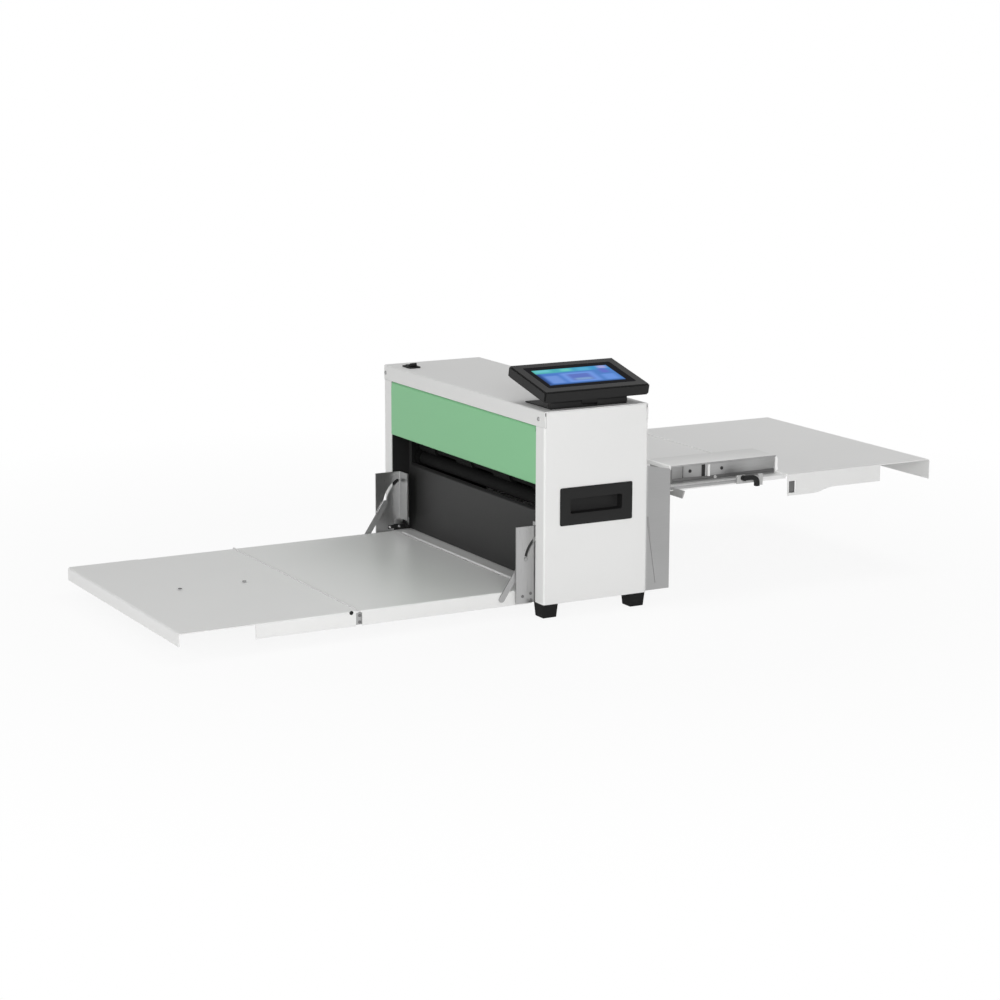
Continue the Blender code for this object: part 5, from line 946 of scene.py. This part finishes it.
# %% Seam latches
FLANGE_SHEET = 1.5 * MM
LATCH_GAP = 0.3 * MM
LATCH_SIZE = (1.6 * MM, 20 * MM, 20.5 * MM)
LATCH_Z = 32.2 * MM
LATCH_Y = SEAM_Y + 2.3 * MM
LATCH_RIVET_Y = SEAM_Y + 2.8 * MM
LATCH_RIVETS_Z = (37 * MM, 26 * MM)
latch_face = low_table_high.x - FLANGE_SHEET - LATCH_GAP
latch_x = latch_face - LATCH_SIZE[0] / 2
for side, label in SIDES:
    latch = model_bar(LATCH_SIZE, (side * latch_x, LATCH_Y, LATCH_Z), 0.4 * MM)
    finish(latch, f"seam_latch_{label}", "outfeed_inner", guide_steel)
    places = [(side * latch_face, LATCH_RIVET_Y, z) for z in LATCH_RIVETS_Z]
    place_copies(rivet, f"latch_rivet_{label}", places, (side, 0, 0), "outfeed_inner", dark_steel)
print("seam latches placed")

# %% [markdown]
# ## High table details
#
# A steel rail covers the inner half's side hem on both sides. Behind the window in each flange of the
# extension sits the dark plate of a catch.

# %% Side rails and catch plates
RAIL_START = high_table_low.y + 35 * MM
RAIL_END = 322 * MM
RAIL_SIZE = (0.6 * MM, RAIL_END - RAIL_START, 5.4 * MM)
RAIL_PLACE = (high_table_high.x + 0.35 * MM, (RAIL_START + RAIL_END) / 2, high_table_high.z - 3.1 * MM)
CATCH_SIZE = (1.2 * MM, 15 * MM, 26 * MM)
CATCH_PLACE = (high_table_high.x - 2.6 * MM, 426.2 * MM, 168 * MM)
for side, label in SIDES:
    rail = model_bar(RAIL_SIZE, (side * RAIL_PLACE[0], *RAIL_PLACE[1:]), 0.2 * MM)
    finish(rail, f"table_rail_{label}", "chassis", zinc_steel)
    plate = model_bar(CATCH_SIZE, (side * CATCH_PLACE[0], *CATCH_PLACE[1:]), 0.4 * MM)
    finish(plate, f"catch_plate_{label}", "infeed_outer", dark_steel)
print("rails and catch plates placed")

# %% [markdown]
# ## Side guide details
#
# The guide's near face carries two black screws, a pale button at its foot and a white nylon roller in its
# dark notch. A dark strip along its foot is painted shade: it stands in for the shadow gap under the guide.
# A thin plate closes the back of the notch. Nylon caps with one slanted edge close the two ends.

# %% Guide screws, shade strip and notch
GUIDE_SCREWS = ((229 * MM, 209.3 * MM), (294.5 * MM, 209 * MM))
STRIP_MARGIN = 3 * MM
STRIP_SHEET = 0.8 * MM
STRIP_HEIGHT = 5.6 * MM
STRIP_LIFT = 3.4 * MM
BACKING_SIZE = (0.8 * MM, 12 * MM, 29 * MM)
BACKING_DEPTH = 3.1 * MM
BACKING_PLACE = (256.75 * MM, 204.2 * MM)
guide_face = guide_high.x - 2 * MM
guide_screw = model_screw(radius=3.0 * MM, height=1.4 * MM)
places = [(guide_face, y, z) for y, z in GUIDE_SCREWS]
place_copies(guide_screw, "guide_screw", places, (1, 0, 0), "guide", dark_paint)
# The dark strip along the guide's foot is painted shade: it stands in for the shadow gap under the guide.
strip_length = guide_high.y - guide_low.y - 2 * STRIP_MARGIN
strip_place = (guide_face + 0.45 * MM, (guide_low.y + guide_high.y) / 2, high_table_high.z + STRIP_LIFT)
strip = model_bar((STRIP_SHEET, strip_length, STRIP_HEIGHT), strip_place, 0.25 * MM)
finish(strip, "guide_foot_shade_strip", "guide", dark_steel)
backing = model_bar(BACKING_SIZE, (guide_face - BACKING_DEPTH, *BACKING_PLACE))
finish(backing, "guide_notch_backing", "guide", dark_paint)
print("guide strip", round(strip_length / MM), "mm long")


# %% Guide caps and foot button
def model_end_cap(size, place, chamfer, outward):
    """A bar whose upper outer edge is cut back at a slant."""
    cap = start_block(size, place)
    edit(cap, "EDGE")
    rim = place[1] + outward * size[1] * 0.45
    choose(cap, "edges", lambda edge: all(v.co.z > place[2] and (v.co.y - rim) * outward > 0
                                          for v in edge.verts))
    bevel_chosen(chamfer, 2)
    close_edit()
    apply_modifier(cap, "BEVEL", width=0.3 * MM, segments=2, limit_method="ANGLE",
                   angle_limit=math.radians(30))
    smooth(cap, 30)
    return cap


CHAMFER_SHARE = 0.8
BUTTON_PLACE = (0.8 * MM, 280.5 * MM, 2.8 * MM)
cap_width = guide_high.x - guide_low.x - 3 * MM
cap_x = (guide_low.x + guide_high.x) / 2
caps = (("front", -1, guide_low.y - 1.9 * MM, 4.4 * MM, guide_high.z - 7 * MM, guide_high.z + 0.2 * MM),
        ("rear", 1, guide_high.y + 2.3 * MM, 4.8 * MM, high_table_high.z + 1.5 * MM, guide_high.z - 2 * MM))
for end, outward, y, deep, bottom, top in caps:
    cap = model_end_cap((cap_width, deep, top - bottom), (cap_x, y, (top + bottom) / 2),
                        deep * CHAMFER_SHARE, outward)
    finish(cap, f"guide_cap_{end}", "guide", bright_plastic)
foot_button = (guide_face + BUTTON_PLACE[0], BUTTON_PLACE[1], high_table_high.z + BUTTON_PLACE[2])
place_copies(guide_screw, "guide_foot_button", [foot_button], (1, 0, 0), "guide",
             grey_paint_and_clamp_shade)
print("guide caps:", len(caps))

# %% Guide roller
ROLLER_RADIUS = 2.6 * MM
ROLLER_HEIGHT = 21 * MM
ROLLER_BEVEL = 0.8 * MM
ROLLER_PLACE = (guide_face + ROLLER_RADIUS * 0.4, 267 * MM, 208 * MM)
roller = start_cylinder(ROLLER_RADIUS, ROLLER_HEIGHT, ROLLER_PLACE)
edit(roller, "EDGE")
choose(roller, "edges", lambda edge: abs(edge.verts[0].co.z - edge.verts[1].co.z) < ROLLER_HEIGHT / 2)
bevel_chosen(ROLLER_BEVEL, 3)
close_edit()
smooth(roller, 40)
finish(roller, "guide_roller", "guide", white_plastic)
print("guide details placed")

# %% [markdown]
# ## Clamp cap and rocker marks
#
# A small domed cap hides the end of the clamp's pin. A power rocker carries a bar and a ring. They are
# thin raised pads laid on the rocker's two slopes, and a ray cast down onto the rocker tells how high
# and how steep the slope is at each place.

# %% Clamp cap
CAP_PLACE = (319 * MM, 194.3 * MM)
clamp_cap = model_rivet(radius=3.4 * MM, height=1.6 * MM)
places = [(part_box("clamp_bracket")[1].x, *CAP_PLACE)]
place_copies(clamp_cap, "clamp_cap", places, (1, 0, 0), "clamp", black_plastic)
print("clamp cap placed")

# %% Rocker marks
MARK_OFFSET = 5.5 * MM
RING_RADIUS = 1.7 * MM
RING_THICKNESS = 0.3 * MM
BAR_SIZE = (0.7 * MM, 3.6 * MM, 0.5 * MM)
RAY_HEIGHT = 1.0


def surface_below(piece, x, y):
    """Where a ray straight down meets a piece, and the way the surface faces there."""
    to_local = piece.matrix_world.inverted()
    start = to_local @ Vector((x, y, RAY_HEIGHT))
    _, place, normal, _ = piece.ray_cast(start, to_local.to_3x3() @ Vector((0, 0, -1)))
    return piece.matrix_world @ place, (piece.matrix_world.to_3x3() @ normal).normalized()


rocker_low, rocker_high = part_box("switch_rocker")
rocker_middle = (rocker_low + rocker_high) / 2
start_clean()
bpy.ops.mesh.primitive_torus_add(major_radius=RING_RADIUS, minor_radius=RING_THICKNESS,
                                 major_segments=24, minor_segments=8)
ring = bpy.context.object
smooth(ring)
bar = model_bar(BAR_SIZE, (0, 0, 0), 0.15 * MM)
for mark, name, offset in ((ring, "rocker_ring_mark", MARK_OFFSET), (bar, "rocker_bar_mark", -MARK_OFFSET)):
    place, normal = surface_below(skins["switch_rocker"], rocker_middle.x + offset, rocker_middle.y)
    place_copies(mark, name, [place], normal, "rocker", white_plastic)
    print(name, "on a slope of", [round(v, 2) for v in normal])

# %% [markdown]
# ## Floor, backdrop and lights
#
# The photograph has a plain white ground. The floor is a pale, wide plane that the camera sees as
# nearly white near the machine, with a faint shadow, and as plain white further out. The sky is white
# to the camera and an even grey level for everything else. A large low lamp lights the end panel, a
# weaker one the front, and one from above and behind lays the body's soft shadow on the low table.

# %% Floor
FLOOR_SIZE = 60
FLOOR_GREY = (0.82, 0.82, 0.82, 1)
FLOOR_WHITE_NEAR = 0.9
FLOOR_NEAR = 0.7
FLOOR_FAR = 1.6


def build_floor_paint():
    paint, tree, shader = new_material("pale_floor")
    shader.inputs["Base Color"].default_value = FLOOR_GREY
    shader.inputs["Roughness"].default_value = 0.9
    shader.inputs["Specular IOR Level"].default_value = 0.0
    glow = add(tree, "ShaderNodeEmission", in_Color=(1, 1, 1, 1), in_Strength=1.0)
    rays = add(tree, "ShaderNodeLightPath").outputs
    seen = arithmetic(tree, "MAXIMUM", rays["Is Camera Ray"], rays["Is Glossy Ray"])
    reach = add(tree, "ShaderNodeVectorMath", operation="LENGTH")
    tree.links.new(add(tree, "ShaderNodeTexCoord").outputs["Object"], reach.inputs[0])
    far = add(tree, "ShaderNodeMapRange", in_From_Min=FLOOR_NEAR, in_From_Max=FLOOR_FAR,
              in_To_Min=FLOOR_WHITE_NEAR, in_To_Max=1.0)
    tree.links.new(reach.outputs["Value"], far.inputs["Value"])
    mix = add(tree, "ShaderNodeMixShader")
    share = arithmetic(tree, "MULTIPLY", seen, far.outputs["Result"])
    for number, source in enumerate((share, shader.outputs[0], glow.outputs[0])):
        tree.links.new(source, mix.inputs[number])
    tree.links.new(mix.outputs[0], tree.nodes["Material Output"].inputs["Surface"])
    return paint


start_clean()
bpy.ops.mesh.primitive_plane_add(size=FLOOR_SIZE, location=(0, 0, 0))
floor = bpy.context.object
floor.name = "floor"
floor.data.materials.append(build_floor_paint())
print("floor ready")

# %% Sky
SKY_LEVEL = 0.42
world = bpy.data.worlds.new("studio")
bpy.context.scene.world = world
world.use_nodes = True
sky_tree = world.node_tree
sky = sky_tree.nodes["Background"]
sky.inputs["Color"].default_value = (1, 1, 1, 1)
rays = add(sky_tree, "ShaderNodeLightPath").outputs
seen = arithmetic(sky_tree, "MAXIMUM", rays["Is Camera Ray"], rays["Is Transmission Ray"])
sky_tree.links.new(spread(sky_tree, seen, SKY_LEVEL, 1.0), sky.inputs["Strength"])
print("sky level", SKY_LEVEL)

# %% Lamps
BODY_AIM = (0, 0, 0.15)
TABLE_AIM = (0, -0.1, 0.1)
LAMPS = (("key_lamp", (3.6, -1.4, 1.1), BODY_AIM, 1.8, 70),
         ("front_lamp", (0.4, -3.4, 1.1), BODY_AIM, 1.8, 26),
         ("back_lamp", (-0.6, 1.5, 2.7), TABLE_AIM, 1.3, 25))


def soft_lamp(name, place, aim, size, power):
    """A large square lamp that points at a place."""
    data = bpy.data.lights.new(name, "AREA")
    data.shape = "SQUARE"
    data.size = size
    data.energy = power
    lamp = bpy.data.objects.new(name, data)
    bpy.context.scene.collection.objects.link(lamp)
    lamp.location = place
    lamp.rotation_mode = "QUATERNION"
    lamp.rotation_quaternion = (Vector(aim) - Vector(place)).to_track_quat("-Z", "Y")


for lamp in LAMPS:
    soft_lamp(*lamp)
bpy.context.scene.view_settings.view_transform = "Standard"
print("lamps:", len(LAMPS))

# %% [markdown]
# ## Removing the templates
#
# The templates are removed.

# %% Remove the templates
for template in (screw, band_screw, rivet, stop_pin, guide_screw, clamp_cap, ring, bar):
    bpy.data.objects.remove(template, do_unlink=True)
